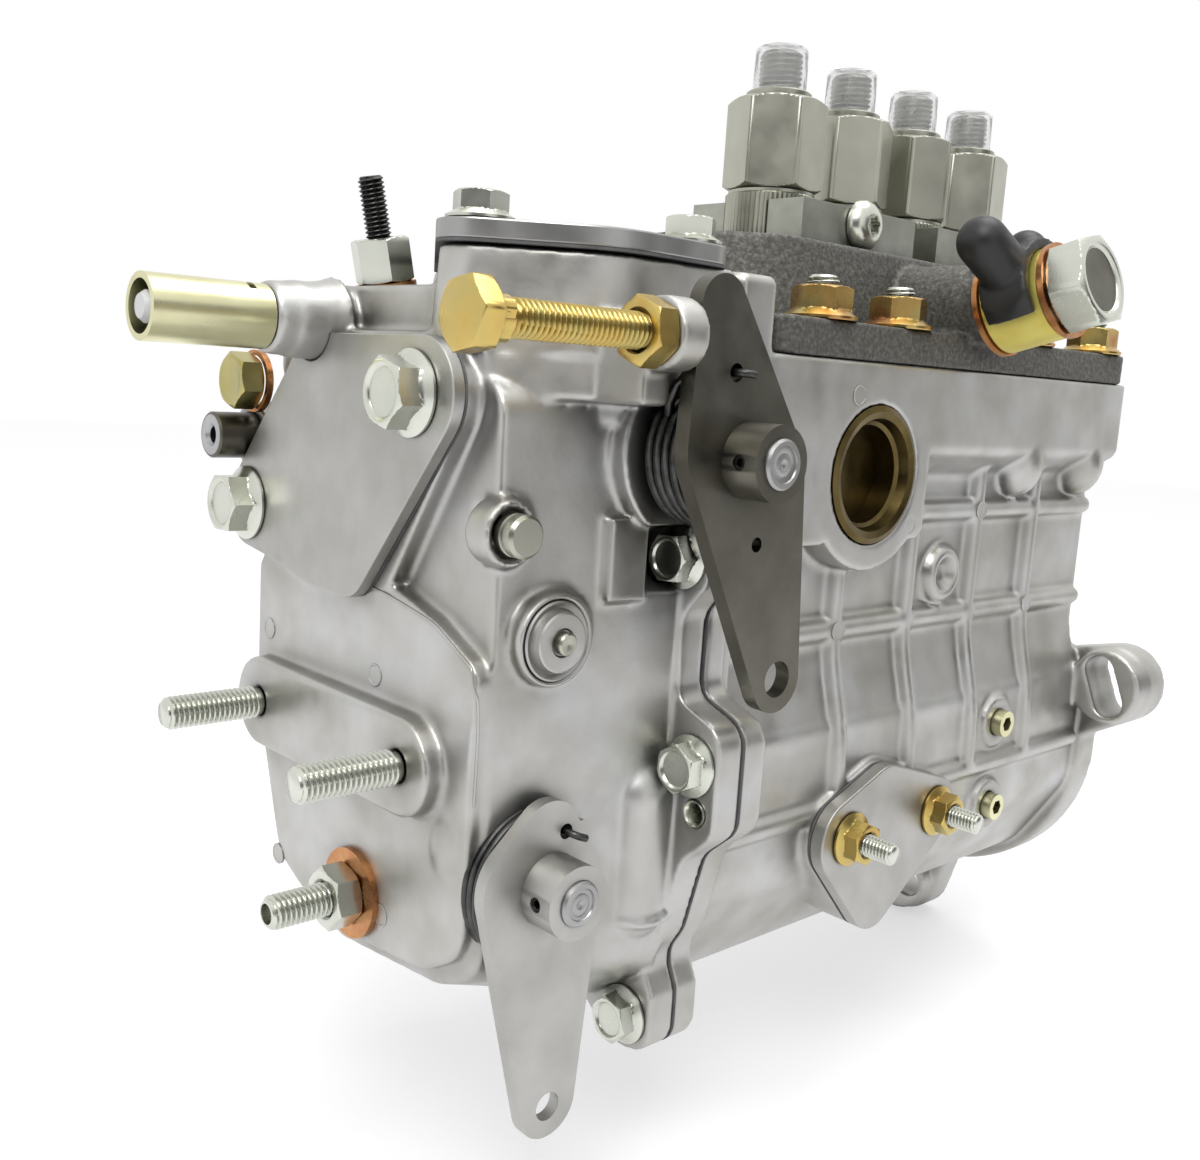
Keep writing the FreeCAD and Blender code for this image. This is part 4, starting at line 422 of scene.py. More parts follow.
class Piece:
    """Collects faces and makes one object of them."""

    def __init__(self, name):
        self.name = name
        self.points = []
        self.faces = []

    def add(self, points, faces, matrix):
        start = len(self.points)
        self.points += [matrix @ Vector(point) for point in points]
        self.faces += [tuple(start + corner for corner in face) for face in faces]

    def turn(self, rings, at, axis, count=ROUND, spin=0.0, closed=False):
        """Joins rings along an axis. A ring is (height, radius) or (height, function of the angles)."""
        angles = np.arange(count) * 2 * math.pi / count
        points = []
        for height, radius in rings:
            radii = radius(angles) if callable(radius) else np.full(count, float(radius))
            points += [(r * math.cos(a), r * math.sin(a), height) for r, a in zip(radii, angles)]
        last = len(rings) - 1
        faces = [face for low in range(last) for face in band(low, low + 1, count)]
        faces += band(last, 0, count) if closed else ends(last, count)
        self.add(points, faces, placing(at, axis, spin))

    def sweep(self, path, radius, count=12):
        """A round wire along a path of points."""
        path = [Vector(point) for point in path]
        side = None
        points = []
        for index, point in enumerate(path):
            ahead = (path[min(index + 1, len(path) - 1)] - path[max(index - 1, 0)]).normalized()
            if side is None:
                side = ahead.orthogonal()
            side = (side - ahead * side.dot(ahead)).normalized()
            other = ahead.cross(side)
            for step in range(count):
                angle = 2 * math.pi * step / count
                points.append(point + (side * math.cos(angle) + other * math.sin(angle)) * radius)
        last = len(path) - 1
        faces = [face for low in range(last) for face in band(low, low + 1, count)] + ends(last, count)
        self.add(points, faces, Matrix.Identity(4))

    def ball(self, at, radius, stretch=1.0):
        """A ball, or an egg that stands upright."""
        steps = 16
        rings = []
        for step in range(steps + 1):
            angle = math.pi * (step / steps - 0.5)
            rings.append((radius * stretch * math.sin(angle), max(0.02, radius * math.cos(angle))))
        self.turn(rings, at, TO_TOP, count=32)

    def capsule(self, start, stop, radius):
        """A round bar with round ends."""
        self.sweep([start, stop], radius, 32)
        self.ball(start, radius)
        self.ball(stop, radius)

    def prism(self, outline, low, high, axis="Y"):
        """An outline between two values of Y or X. Its corners are (X, Z) or (Y, Z)."""
        count = len(outline)
        if axis == "Y":
            points = [(x, y, z) for y in (low, high) for x, z in outline]
        else:
            points = [(x, y, z) for x in (low, high) for y, z in outline]
        faces = [tuple(range(count)), tuple(reversed(range(count, 2 * count)))] + band(0, 1, count)
        self.add(points, faces, Matrix.Identity(4))

    def lofted(self, low_outline, low_z, high_outline, high_z):
        """A block between two outlines of (X, Y) corners at two heights, both convex."""
        low_points, high_points = evened(low_outline), evened(high_outline)
        count = len(low_points)
        points = [(x, y, low_z) for x, y in low_points] + [(x, y, high_z) for x, y in high_points]
        self.add(points, ends(1, count) + band(0, 1, count), Matrix.Identity(4))

    def mesh(self):
        mesh = bpy.data.meshes.new(self.name)
        mesh.from_pydata([point * MM for point in self.points], [], self.faces)
        return mesh

    def make(self, material, body="pump", nodes=(), sharp=FITTING_SHARP):
        finished(self.name, self.mesh(), material, body, nodes, sharp)


def finished(name, mesh, material, body="pump", nodes=(), sharp=FITTING_SHARP):
    """Makes the object of a mesh, with its faces outward, its shading, material and body."""
    work = bmesh.new()
    work.from_mesh(mesh)
    bmesh.ops.recalc_face_normals(work, faces=work.faces)
    work.to_mesh(mesh)
    work.free()
    mesh.shade_smooth()
    mesh.set_sharp_from_angle(angle=math.radians(sharp))
    mesh.materials.clear()
    mesh.materials.append(material)
    made = bpy.data.objects.new(name, mesh)
    bpy.context.scene.collection.objects.link(made)
    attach(made, body)
    if nodes:
        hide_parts(*nodes)


def copied(node):
    """The solid's own mesh as a new mesh, with its doubled points joined."""
    mesh = frame["nodes"][node].data.copy()
    work = bmesh.new()
    work.from_mesh(mesh)
    bmesh.ops.remove_doubles(work, verts=work.verts, dist=1e-6)
    work.to_mesh(mesh)
    work.free()
    return mesh


def with_modifiers(mesh, *settings):
    """Applies modifiers, each given as (kind, values), and gives the new mesh."""
    holder = bpy.data.objects.new("holder", mesh)
    bpy.context.scene.collection.objects.link(holder)
    for kind, values in settings:
        modifier = holder.modifiers.new(kind, kind)
        for key, value in values.items():
            setattr(modifier, key, value)
    graph = bpy.context.evaluated_depsgraph_get()
    result = bpy.data.meshes.new_from_object(holder.evaluated_get(graph))
    bpy.data.objects.remove(holder)
    return result


def without(mesh, holes):
    """The mesh with the holes' pieces cut out of it."""
    cutter = bpy.data.objects.new("cutter", holes.mesh())
    bpy.context.scene.collection.objects.link(cutter)
    cut = with_modifiers(mesh, ("BOOLEAN", {"operation": "DIFFERENCE", "object": cutter, "solver": "EXACT"}))
    bpy.data.objects.remove(cutter)
    return cut


def softened(node, voxel, rounds, forms=None, holes=None):
    """A copy of a solid, with forms added and holes taken out, and the soft edges of a casting."""
    mesh = copied(node)
    if holes:
        mesh = without(mesh, holes)
    if forms:
        work = bmesh.new()
        work.from_mesh(mesh)
        work.from_mesh(forms.mesh())
        work.to_mesh(mesh)
        work.free()
    return with_modifiers(
        mesh,
        ("REMESH", {"mode": "VOXEL", "voxel_size": voxel * MM, "use_smooth_shade": True}),
        ("SMOOTH", {"factor": 0.5, "iterations": rounds}))


def bevelled(node, width, name, material, body="pump", holes=None):
    """Replaces a flat solid by a copy with small rounded edges."""
    mesh = copied(node)
    if holes:
        mesh = without(mesh, holes)
    mesh = with_modifiers(
        mesh,
        ("DECIMATE", {"decimate_type": "DISSOLVE", "angle_limit": math.radians(1)}),
        ("BEVEL", {"width": width * MM, "segments": 2, "limit_method": "ANGLE",
                   "angle_limit": math.radians(50), "use_clamp_overlap": True}))
    finished(name, mesh, material, body, (node,), PLATE_SHARP)


def hexed(outer, flats, least=0.0):
    """A ring limited by a hexagon's flats, and by a round collar that stands out of them."""
    return lambda angles: np.maximum(least, np.minimum(outer, flat_sided(angles, flats)))


def starred(radius):
    """A star with six round rays."""
    return lambda angles: radius + 0.32 * np.cos(6 * angles)


def squared(outer, flats):
    """A square with round corners."""
    return lambda angles: np.minimum(outer, flat_sided(angles, flats, 4))


def splined(radius, teeth, depth):
    """A round shaft with fine teeth."""
    return lambda angles: radius - depth * np.abs(np.mod(angles * teeth / (2 * math.pi), 1) * 2 - 1)


def hex_rings(flats, low, high, bottom=True, top=True):
    """A hexagon prism whose corners are chamfered by a cone."""
    corner = flats / math.sqrt(3) + 0.02
    touch = flats / 2 * 0.96
    drop = (corner - touch) * 0.5
    steps = 5
    slopes = [(step / steps, touch + (corner - touch) * step / steps) for step in range(steps + 1)]
    rings = []
    if bottom:
        rings += [(low + drop * share, hexed(radius, flats)) for share, radius in slopes]
    else:
        rings.append((low, hexed(corner, flats)))
    if top:
        rings += [(high - drop * share, hexed(radius, flats)) for share, radius in reversed(slopes)]
    else:
        rings.append((high, hexed(corner, flats)))
    return rings


def flange_slope(flats, flange, rim, top):
    """The cone between a flange's rim and the foot of its hexagon."""
    steps = 5
    rings = []
    for step in range(1, steps + 1):
        share = step / steps
        least = flange - (flange - flats / 2 * 0.98) * share
        rings.append((rim + (top - rim) * share, hexed(flats, flats, least)))
    return rings


def flange_head_rings(flats, flange, high):
    """A flange bolt's head with a dished top, from its seat upward."""
    rim, slope_top, dish, deep = 0.8, high * 0.36, flats / 2, high - 0.75
    rings = [(0, flange - 0.35), (0.25, flange), (rim, flange)]
    rings += flange_slope(flats, flange, rim, slope_top)
    rings += hex_rings(flats, slope_top + 0.05, high, bottom=False)
    rings += [(high, dish * 0.90), (high - 0.15, dish * 0.84), (high - 0.7, dish * 0.76), (deep, dish * 0.3),
              (deep, 0.05)]
    return rings


def flange_nut_rings(flats, flange, high, hole):
    """A flange nut from its seat upward, with a chamfered hole."""
    rim, slope_top = 0.9, high * 0.34
    rings = [(0, hole), (0, flange - 0.3), (0.3, flange), (rim, flange)]
    rings += flange_slope(flats, flange, rim, slope_top)
    rings += hex_rings(flats, slope_top + 0.05, high, bottom=False)
    rings += [(high, hole + 0.7), (high - 0.6, hole)]
    return rings


def plain_nut_rings(flats, high, hole, wide, deep):
    """A hexagon nut whose hole widens at the outer end."""
    return [(0, hole)] + hex_rings(flats, 0, high) + [(high, wide), (high - deep, hole)]


def threaded(start, stop, radius, pitch, chamfer, blunt=BOTH):
    """Rings of a screw thread from one height to another, with chamfered ends."""
    depth = pitch * 0.58
    count = int((stop - start) / pitch * THREAD_STEPS)
    rings = []
    for index in range(count + 1):
        height = start + (stop - start) * index / count
        limit = radius
        for end, wanted in ((start, blunt[0]), (stop, blunt[1])):
            if wanted:
                limit = min(limit, radius - chamfer + abs(height - end))

        def wall(angles, height=height, limit=limit):
            wave = np.mod(height / pitch - angles / (2 * math.pi), 1)
            groove = np.clip(np.abs(wave * 2 - 1) * 1.3 - 0.2, 0, 1)
            return np.minimum(radius - depth * groove, limit)
        rings.append((height, wall))
    return rings


# The castings.
def rough(mesh, size, height):
    """Moves the points of a mesh in and out, as the sand of a mould leaves them."""
    work = bmesh.new()
    work.from_mesh(mesh)
    work.normal_update()
    for vert in work.verts:
        level = noise.noise(vert.co / (size * MM)) + 0.5 * noise.noise(vert.co / (size * MM * 0.45))
        vert.co += vert.normal * level * height * MM
    work.to_mesh(mesh)
    work.free()


def slotted_pad(angle):
    """A raised pad round the slot of one mounting ear, as points and faces."""
    count = 32
    inner, low_x, high_x, foot, crown = SLOT_RADIUS + 0.2, -17, -9, 11.6, 12.9
    lean = math.radians(angle)
    points = []
    for x, reach, half in ((low_x, foot, 0), (low_x, inner, SLOT_HALF),
                           (high_x, inner, SLOT_HALF), (high_x, crown, 0)):
        for step in range(count):
            turn = 2 * math.pi * (step + 0.5) / count
            along = reach * math.cos(turn) + math.copysign(half, math.cos(turn))
            out = EAR_DISTANCE + reach * math.sin(turn)
            points.append((x, out * math.cos(lean) - along * math.sin(lean),
                           out * math.sin(lean) + along * math.cos(lean)))
    faces = [face for low, high in ((0, 1), (1, 2), (2, 3), (3, 0)) for face in band(low, high, count)]
    return points, faces


def housing_forms():
    """The cast forms of the housing's side walls, with room for the cup plug on the lever side."""
    forms = Piece("housing_forms")
    band_z, under_cup_z, past_cup_x = 97, 71, -118
    for side in (-1, 1):
        for x in RIBS:
            top = under_cup_z if side == -1 and x == RIBS[0] else band_z
            crest = [(WALL_Y, top), (WALL_Y, 50), (45, 43), (46.6, 36), (48.4, 29), (49.6, 22),
                     (50, 15), (50, 5)]
            forms.sweep([(x, side * y, z) for y, z in crest], radius=3.2)
        for z, y in ((HIGH_RIB_Z, WALL_Y), (LOW_RIB_Z, WALL_Y), (FOOT_RIB_Z, 49.9)):
            start = past_cup_x if side == -1 and z == HIGH_RIB_Z else WALL_REAR
            forms.sweep([(start, side * y, z), (WALL_FRONT, side * y, z)], radius=3)
        for x in (-62, -24):
            forms.ball((x, side * 45.5, 96), radius=8.4, stretch=1.25)
        outer = [(44.3, 52), (44.8, 46), (45.9, 40), (47.5, 34), (49, 28), (50, 22), (50.4, 15), (50.4, 6)]
        section = [(side * y, z) for y, z in outer + [(40, 6), (40, 52)]]
        forms.prism(section, WALL_REAR + 1, WALL_FRONT, "X")
    cup_rear = [(-187, 76), (-162, 76), (-162, 102), (-187, 102)]
    cup_front = [(-130, 76), (-121.5, 76), (-119, 78.5), (-119, 102), (-122.5, 102), (-122.5, 84),
                 (-126, 79)]
    for outline in (cup_rear, cup_front):
        forms.prism(outline, -52.9, -42)
    for angle in EAR_ANGLES:
        forms.add(*slotted_pad(angle), Matrix.Identity(4))
    dish = [(0, 7.5), (1.6, 7.2), (2.2, 6.0), (1.6, 4.9), (0, 4.4)]
    forms.turn(dish, (-96, -45.6, 64), TO_LEVERS, closed=True)
    forms.turn([(0, 4), (2.4, 4)], (-96, -42, 64), TO_LEVERS)
    return forms


def case_forms():
    """The cast forms of the governor case: bulge, walls, the block under the cover, lip and bosses."""
    forms = Piece("case_forms")
    bulge_x, cover_thick = -212.4, 5
    forms.capsule((bulge_x, -43.4, 20), (bulge_x, -43, -6), radius=10)
    for side in (-1, 1):
        forms.prism([(-230, 66), (-218.5, 66), (-218.5, 84), (-230, 84)], side * 43, side * 49.7)
    wide = hull([(-252, -29, 9.2), (-228, -31, 23.2), (-208, -45, 8.2), (-208, 36, 8.2)])
    slim = hull([(-252, -29, 8), (-228, -31, 22), (-208, -45, 7), (-208, 36, 7)])
    forms.lofted(wide, 117, slim, COVER_TOP - cover_thick)
    lip = [(-221, -47, -7.6), (-218.6, -50, -8), (-215.5, -52.4, -8.4), (-212, -53.1, -8.5),
           (-208.5, -52.4, -8.3), (-205, -51, -8), (-200.6, -50, -7.6)]
    forms.sweep(lip, radius=1.2)
    forms.ball((-251, -36.5, 14), radius=10.5, stretch=1.25)
    dowel_rim = [(0, 7), (1.4, 6.9), (2, 6.2), (1.4, 5.2), (0, 5)]
    forms.turn(dowel_rim, (DOWEL_X, -46.4, DOWEL_Z), TO_LEVERS, closed=True)
    disc_rim = [(0, 10), (1.6, 9.8), (2.2, 9.1), (1.6, 8.6), (0, 8.6)]
    forms.turn(disc_rim, (DISC_X, -48.6, DISC_Z), TO_LEVERS, closed=True)
    limiter_boss = [(0, 5.7), (0, 7.3), (0.6, 7.9), (9, 8.2), (14, 9), (17, 10.2), (17, 5.7)]
    forms.turn(limiter_boss, LIMITER_BOSS_AT, TO_DRIVE, closed=True)
    return forms


def threaded_hole():
    """The room of the small threaded hole under the joint bolt."""
    hole = Piece("hole")
    hole.turn([(-1, 3.0), (7, 3.0)], HOLE_AT, TO_DRIVE, count=SMALL_ROUND)
    return hole


def seam(surface, points, radius):
    """A fine raised line on the skin of a casting."""
    work = bmesh.new()
    work.from_mesh(surface)
    tree = BVHTree.FromBMesh(work)
    work.free()
    path = []
    steps = 14
    for start, stop in zip(points, points[1:]):
        for step in range(steps):
            point = Vector(start).lerp(Vector(stop), step / steps) * MM
            near, _, _, _ = tree.find_nearest(point)
            path.append(near / MM)
    line = Piece("casting_seam")
    line.sweep(path, radius)
    line.make(LOOKS["cast_aluminium"])


def castings():
    metal = LOOKS["cast_aluminium"]
    housing = softened("pump_housing", voxel=0.8, rounds=8, forms=housing_forms())
    finished("housing_casting", housing, metal, nodes=("pump_housing",), sharp=SOFT_SHARP)
    case = softened("governor_case", voxel=0.7, rounds=8, forms=case_forms(), holes=threaded_hole())
    finished("case_casting", case, metal, nodes=("governor_case",), sharp=SOFT_SHARP)
    line = [(-261, 8, 67), (-261, -30, 61), (-260, -43, 54), (-259, -46, 44), (-259, -46, 24)]
    seam(case, line, radius=0.3)
    head = softened("outlet_head", voxel=0.8, rounds=3)
    rough(head, size=1.5, height=0.12)
    finished("head_casting", head, LOOKS["cast_iron"], nodes=("outlet_head",), sharp=SOFT_SHARP)


# Bolts, nuts and studs.
def flange_bolts():
    small = Piece("joint_and_cover_bolts")
    head = flange_head_rings(M6_FLATS, M6_FLANGE, M6_HEAD)
    shank = threaded(-20, 0, M6_CREST, M6_PITCH, 0.7, HEADED)
    for index, (y, z) in enumerate(JOINT_BOLTS):
        for side in (1, -1):
            seat = (CASE_FACE_X, side * y, z)
            small.turn(head, seat, TO_GOVERNOR, spin=17 * index)
            small.turn(shank, seat, TO_GOVERNOR, count=SMALL_ROUND)
    for index, (x, y) in enumerate(TOP_BOLTS):
        small.turn(head, (x, y, COVER_TOP), TO_TOP, spin=10 + 25 * index)
    small.make(LOOKS["zinc_steel"], nodes=("m6_flange_bolts",))
    large = Piece("rear_cover_heads")
    head = flange_head_rings(M8_FLATS, M8_FLANGE, M8_HEAD)
    for index, (y, z) in enumerate(REAR_BOLTS):
        large.turn(head, (REAR_PLATE_X, y, z), TO_GOVERNOR, spin=12 + 20 * index)
    large.make(LOOKS["zinc_steel"], nodes=("rear_cover_bolts",))


def head_fasteners():
    nuts = Piece("head_flange_nuts")
    studs = Piece("head_stud_ends")
    nut = flange_nut_rings(M8_FLATS, M8_FLANGE, 8, M8)
    stud = threaded(-4, 10.5, M8_CREST, M8_PITCH, 0.9, ROOTED)
    for index, (x, y) in enumerate(NEAR_STUDS + FAR_STUDS):
        nuts.turn(nut, (x, y, DECK_Z), TO_TOP, spin=20 * index, closed=True)
        studs.turn(stud, (x, y, DECK_Z), TO_TOP, count=SMALL_ROUND)
    nuts.make(LOOKS["bronze_zinc"], nodes=("head_nuts",))
    studs.make(LOOKS["zinc_steel"], nodes=("head_studs",), sharp=THREAD_SHARP)


def side_fasteners():
    nuts = Piece("side_cover_flange_nuts")
    studs = Piece("side_cover_stud_ends")
    nut = flange_nut_rings(M6_FLATS, M6_FLANGE, 6, M6)
    stud = threaded(-4, 14, M6_CREST, M6_PITCH, 0.8, ROOTED)
    for x in SIDE_STUDS:
        nuts.turn(nut, (x, SIDE_Y, SIDE_Z), TO_LEVERS, spin=x, closed=True)
        studs.turn(stud, (x, SIDE_Y, SIDE_Z), TO_LEVERS, count=SMALL_ROUND)
    nuts.make(LOOKS["yellow_zinc"], nodes=("side_cover_nuts",))
    studs.make(LOOKS["zinc_steel"], nodes=("side_cover_studs",), sharp=THREAD_SHARP)


# The fittings of the rear wall.
def rear_studs():
    studs = Piece("rear_threaded_studs")
    neck = [(0, M8 - 0.6), (1.4, M8 - 0.6)]
    thread = threaded(1.5, 24, M8_CREST, M8_PITCH, 1.1, ROOTED)
    for y in REAR_STUDS:
        studs.turn(neck + thread, (REAR_STUD_X, y, REAR_STUD_Z), TO_GOVERNOR, count=56)
    studs.make(LOOKS["zinc_steel"], nodes=("rear_studs",), sharp=THREAD_SHARP)


def adjuster():
    screw = Piece("adjusting_screw_threads")
    thread = threaded(-8, 22, M8_CREST, M8_PITCH, 1.1, ROOTED)
    socket = [(22, 2.35), (19, 2.25), (18.8, 0.05)]
    screw.turn(thread + socket, (REAR_WALL_X, *ADJUSTER), TO_GOVERNOR, count=56)
    screw.make(LOOKS["zinc_steel"], nodes=("adjusting_screw",), sharp=THREAD_SHARP)
    nut = Piece("adjusting_lock_nut")
    rings = plain_nut_rings(M8_FLATS, high=6.5, hole=M8, wide=M8 + 0.7, deep=0.6)
    nut.turn(rings, (REAR_WALL_X - COPPER, *ADJUSTER), TO_GOVERNOR, spin=15, closed=True)
    nut.make(LOOKS["zinc_steel"], nodes=("adjusting_nut",))


def plug_and_nipple():
    plug = Piece("hexagon_plug")
    dish = [(6, 5.2), (5.8, 4.8), (5.8, 0.05)]
    plug.turn(hex_rings(SLIM_FLATS, 0, 6) + dish, (REAR_BOSS_X, *PLUG), TO_GOVERNOR, spin=10)
    plug.make(LOOKS["olive_zinc"], nodes=("hex_plug",))
    nipple = Piece("return_nipple_body")
    tube = [(-4, 5.6), (7.6, 5.6), (8, 5.2), (8, 4.9), (-4, 4.9)]
    nipple.turn(tube, (REAR_BOSS_X, *NIPPLE), TO_GOVERNOR, closed=True)
    nipple.make(LOOKS["lever_steel"], nodes=("return_nipple",))
    face = Piece("return_nipple_face")
    mouth = [(-3, 4.88), (8.02, 4.88), (8.05, 2.9), (7.2, 2.0), (-3, 2.0)]
    face.turn(mouth, (REAR_BOSS_X, *NIPPLE), TO_GOVERNOR, closed=True)
    face.make(LOOKS["machined_steel"], nodes=("return_nipple",))


def slanted_stud():
    stud = Piece("slanted_threads")
    stud.turn(threaded(-2, 25, M6_CREST, M6_PITCH, 0.7, ROOTED), SLANT_AT, SLANT, count=SMALL_ROUND)
    stud.make(LOOKS["dark_steel"], nodes=("slanted_stud",), sharp=THREAD_SHARP)
    tall = Piece("slanted_tall_nut")
    rings = plain_nut_rings(SLIM_FLATS, high=10, hole=M6, wide=M6 + 0.6, deep=0.6)
    tall.turn(rings, SLANT_AT + SLANT * COPPER, SLANT, spin=10, closed=True)
    tall.make(LOOKS["zinc_steel"], nodes=("slanted_nut",))


def stop_screw():
    """The long screw that stops the speed lever, with a square and a wire hole behind its head."""
    screw = Piece("idle_stop_screw")
    head_at = (SCREW_HEAD_X, SCREW_Y, SCREW_Z)
    neck = [(0.1, 4.6), (0.2, 3.9), (4, 3.9), (4.3, 3.0)]
    thread = threaded(4.6, 50.2, SCREW_CREST, SCREW_PITCH, 0.9)
    screw.turn(hex_rings(SLIM_FLATS, -5, 0) + neck + thread, head_at, TO_DRIVE, count=72, spin=20)
    square = [(0, 3.4), (0.3, squared(4.6, 7.6)), (3.6, squared(4.6, 7.6)), (4.0, 3.4)]
    screw.turn(square, head_at, TO_DRIVE, spin=62)
    lean = math.radians(28)
    rim = [(3.7, 0.9), (3.7, 1.6), (4.0, 1.5), (4.1, 1.25), (4.0, 0.9)]
    screw.turn(rim, (SCREW_HEAD_X + 2, SCREW_Y, SCREW_Z), (0, -math.cos(lean), math.sin(lean)), count=32,
               closed=True)
    screw.make(LOOKS["yellow_zinc"], nodes=("stop_screw",), sharp=THREAD_SHARP)
    nut = Piece("idle_stop_nut")
    rings = plain_nut_rings(SLIM_FLATS, high=5.5, hole=3.6, wide=4.4, deep=0.7)
    nut.turn(rings, (SCREW_NUT_X, SCREW_Y, SCREW_Z), TO_GOVERNOR, spin=8, closed=True)
    nut.make(LOOKS["yellow_zinc"], nodes=("stop_screw_nut",))


# The outlets and the inlet.
def outlets():
    holders = Piece("valve_holders")
    threads = Piece("outlet_threads")
    caps = Piece("clear_outlet_caps")
    hex_low, hex_top, collar_top, teeth = 14.9, 39.4, 41.6, 60
    spline = splined(12.7, teeth, 0.45)
    base = [(0, 12.0), (0.6, spline), (hex_low - 1.4, spline), (hex_low - 1, 12.0), (hex_low - 0.2, 12.0)]
    collar = [(hex_top + 0.05, 9.4), (hex_top + 0.3, 9), (collar_top - 0.4, 9), (collar_top, 8.5),
              (collar_top, 5.2), (collar_top, 0.05)]
    holder = base + hex_rings(24, hex_low, hex_top) + collar
    outlet = [(collar_top - 0.5, 5.2), (collar_top + 1, 5.2)]
    outlet += threaded(collar_top + 1.2, collar_top + 10.6, OUTLET_THREAD, OUTLET_PITCH, 0.8)
    outlet += [(collar_top + 10.6, 4.4), (collar_top + 8.6, 2.4), (collar_top + 6, 1.6),
               (collar_top + 6, 0.05)]
    cap = [(collar_top, 6.7), (collar_top, 7.2), (collar_top + 0.3, 7.4), (collar_top + 10.8, 7.2),
           (collar_top + 11.7, 6.6), (collar_top + 11.9, 5.9), (collar_top + 11.9, 0.05),
           (collar_top + 11.3, 0.05), (collar_top + 11.3, 6.2), (collar_top + 10.6, 6.6)]
    for x, spin in zip(OUTLETS, HOLDER_TURNS):
        seat = (x, 0, HEAD_TOP)
        holders.turn(holder, seat, TO_TOP, count=8 * teeth, spin=spin)
        threads.turn(outlet, seat, TO_TOP)
        caps.turn(cap, seat, TO_TOP, closed=True)
    holders.make(LOOKS["holder_zinc"], nodes=("delivery_valve_holders",))
    threads.make(LOOKS["zinc_steel"], nodes=("delivery_valve_holders",), sharp=THREAD_SHARP)
    caps.make(LOOKS["clear_plastic"], nodes=("outlet_caps",))


def lock_screws():
    screws = Piece("domed_lock_screws")
    dome = [(0, 6.6), (0.3, 7), (0.9, 7), (2.0, 6.6), (3.1, 5.7), (3.9, 4.5), (4.3, 3.2)]
    recess = [(4.35, 2.9), (4.3, starred(2.3)), (2.4, starred(2.2)), (2.3, 0.05)]
    shank = [(-40.6, 2.3), (-40, 2.9), (0, 2.9)]
    for x in ((OUTLETS[0] + OUTLETS[1]) / 2, (OUTLETS[2] + OUTLETS[3]) / 2):
        seat = (x, -20, HEAD_TOP + 7.1)
        screws.turn(dome + recess, seat, TO_LEVERS, spin=15)
        screws.turn(shank, seat, TO_LEVERS, count=SMALL_ROUND)
    screws.make(LOOKS["zinc_steel"], nodes=("lock_bar_screws",))


def inlet():
    start = INLET_AT + INLET * INLET_BOSS
    over = start + INLET * (COPPER * 2 + BANJO_HIGH)
    bolt = Piece("banjo_bolt")
    rings = [(-1, 8), (0, 11)] + hex_rings(22, 0.1, 10) + [(10, 9.3), (9.8, 8.9), (9.1, 8.3), (9.0, 0.05)]
    bolt.turn(rings, over, INLET, spin=12, count=144)
    bolt.make(LOOKS["zinc_steel"], nodes=("inlet_banjo_bolt",))
    dish = Piece("banjo_bolt_dish")
    rings = [(9.02, 8.25), (9.2, 8.0), (9.15, 5), (9.1, 0.05), (8.8, 0.05), (8.8, 8.2)]
    dish.turn(rings, over, INLET, closed=True)
    dish.make(LOOKS["lever_steel"], nodes=("inlet_banjo_bolt",))
    body = Piece("banjo_body")
    rings = [(0, 7.3), (0, 11.4), (0.6, 12), (BANJO_HIGH - 0.6, 12), (BANJO_HIGH, 11.4), (BANJO_HIGH, 7.3)]
    body.turn(rings, start + INLET * COPPER, INLET, closed=True)
    body.make(LOOKS["banjo_brass"], nodes=("inlet_banjo",))
    rubber = LOOKS["black_rubber"]
    cap = softened("inlet_cap", voxel=0.5, rounds=8)
    finished("rubber_cap", cap, rubber, nodes=("inlet_cap",), sharp=SOFT_SHARP)


# The small things of the side and rear walls.
def case_pins():
    pin = Piece("case_dowel")
    rings = [(0, 4.4), (1.6, 4.4), (1.9, 3.9), (2.4, 3.9), (2.7, 4.4), (4.6, 4.4), (5.3, 3.7), (5.3, 0.05)]
    pin.turn(rings, (DOWEL_X, -47.4, DOWEL_Z), TO_LEVERS)
    pin.make(LOOKS["holder_zinc"], nodes=("case_pins",))
    disc = Piece("case_disc")
    rings = [(0, 8.4), (1.4, 8.4), (1.7, 8.0), (1.3, 7.4), (1.2, 6.9), (1.8, 6.5), (3.1, 6.3), (3.4, 5.9),
             (3.4, 3.1), (3.0, 2.7), (3.0, 0.05)]
    disc.turn(rings, (DISC_X, -49, DISC_Z), TO_LEVERS)
    disc.make(LOOKS["cast_aluminium"], nodes=("case_pins",))
    centre = Piece("case_disc_centre")
    rings = [(0, 2.4), (2.0, 2.4), (2.4, 2.0), (2.4, 0.8), (2.2, 0.05)]
    centre.turn(rings, (DISC_X, -51.8, DISC_Z), TO_LEVERS)
    centre.make(LOOKS["holder_zinc"], nodes=("case_pins",))


def round_marks():
    """The faint rings that the pins of the mould leave on the walls."""
    marks = Piece("cast_round_marks")
    rear = [(39.7, 46.6), (-8.3, 45.1), (33, -10), (-13.9, -9)]
    crest_y = -47.1
    wall = [(-152.8, -53, 112.7), (-125.5, -52.8, 80), (RIBS[0], crest_y, LOW_RIB_Z),
            (RIBS[3], crest_y, LOW_RIB_Z), (RIBS[2], crest_y, HIGH_RIB_Z)]
    ring = [(-0.5, 2.6), (0.12, 2.6), (0.25, 2.4), (0.22, 2.2), (0.12, 2.1), (0.12, 0.05)]
    for y, z in rear:
        marks.turn(ring, (REAR_WALL_X, y, z), TO_GOVERNOR, count=SMALL_ROUND)
    for at in wall:
        marks.turn(ring, at, TO_LEVERS, count=SMALL_ROUND)
    marks.make(LOOKS["cast_aluminium"])


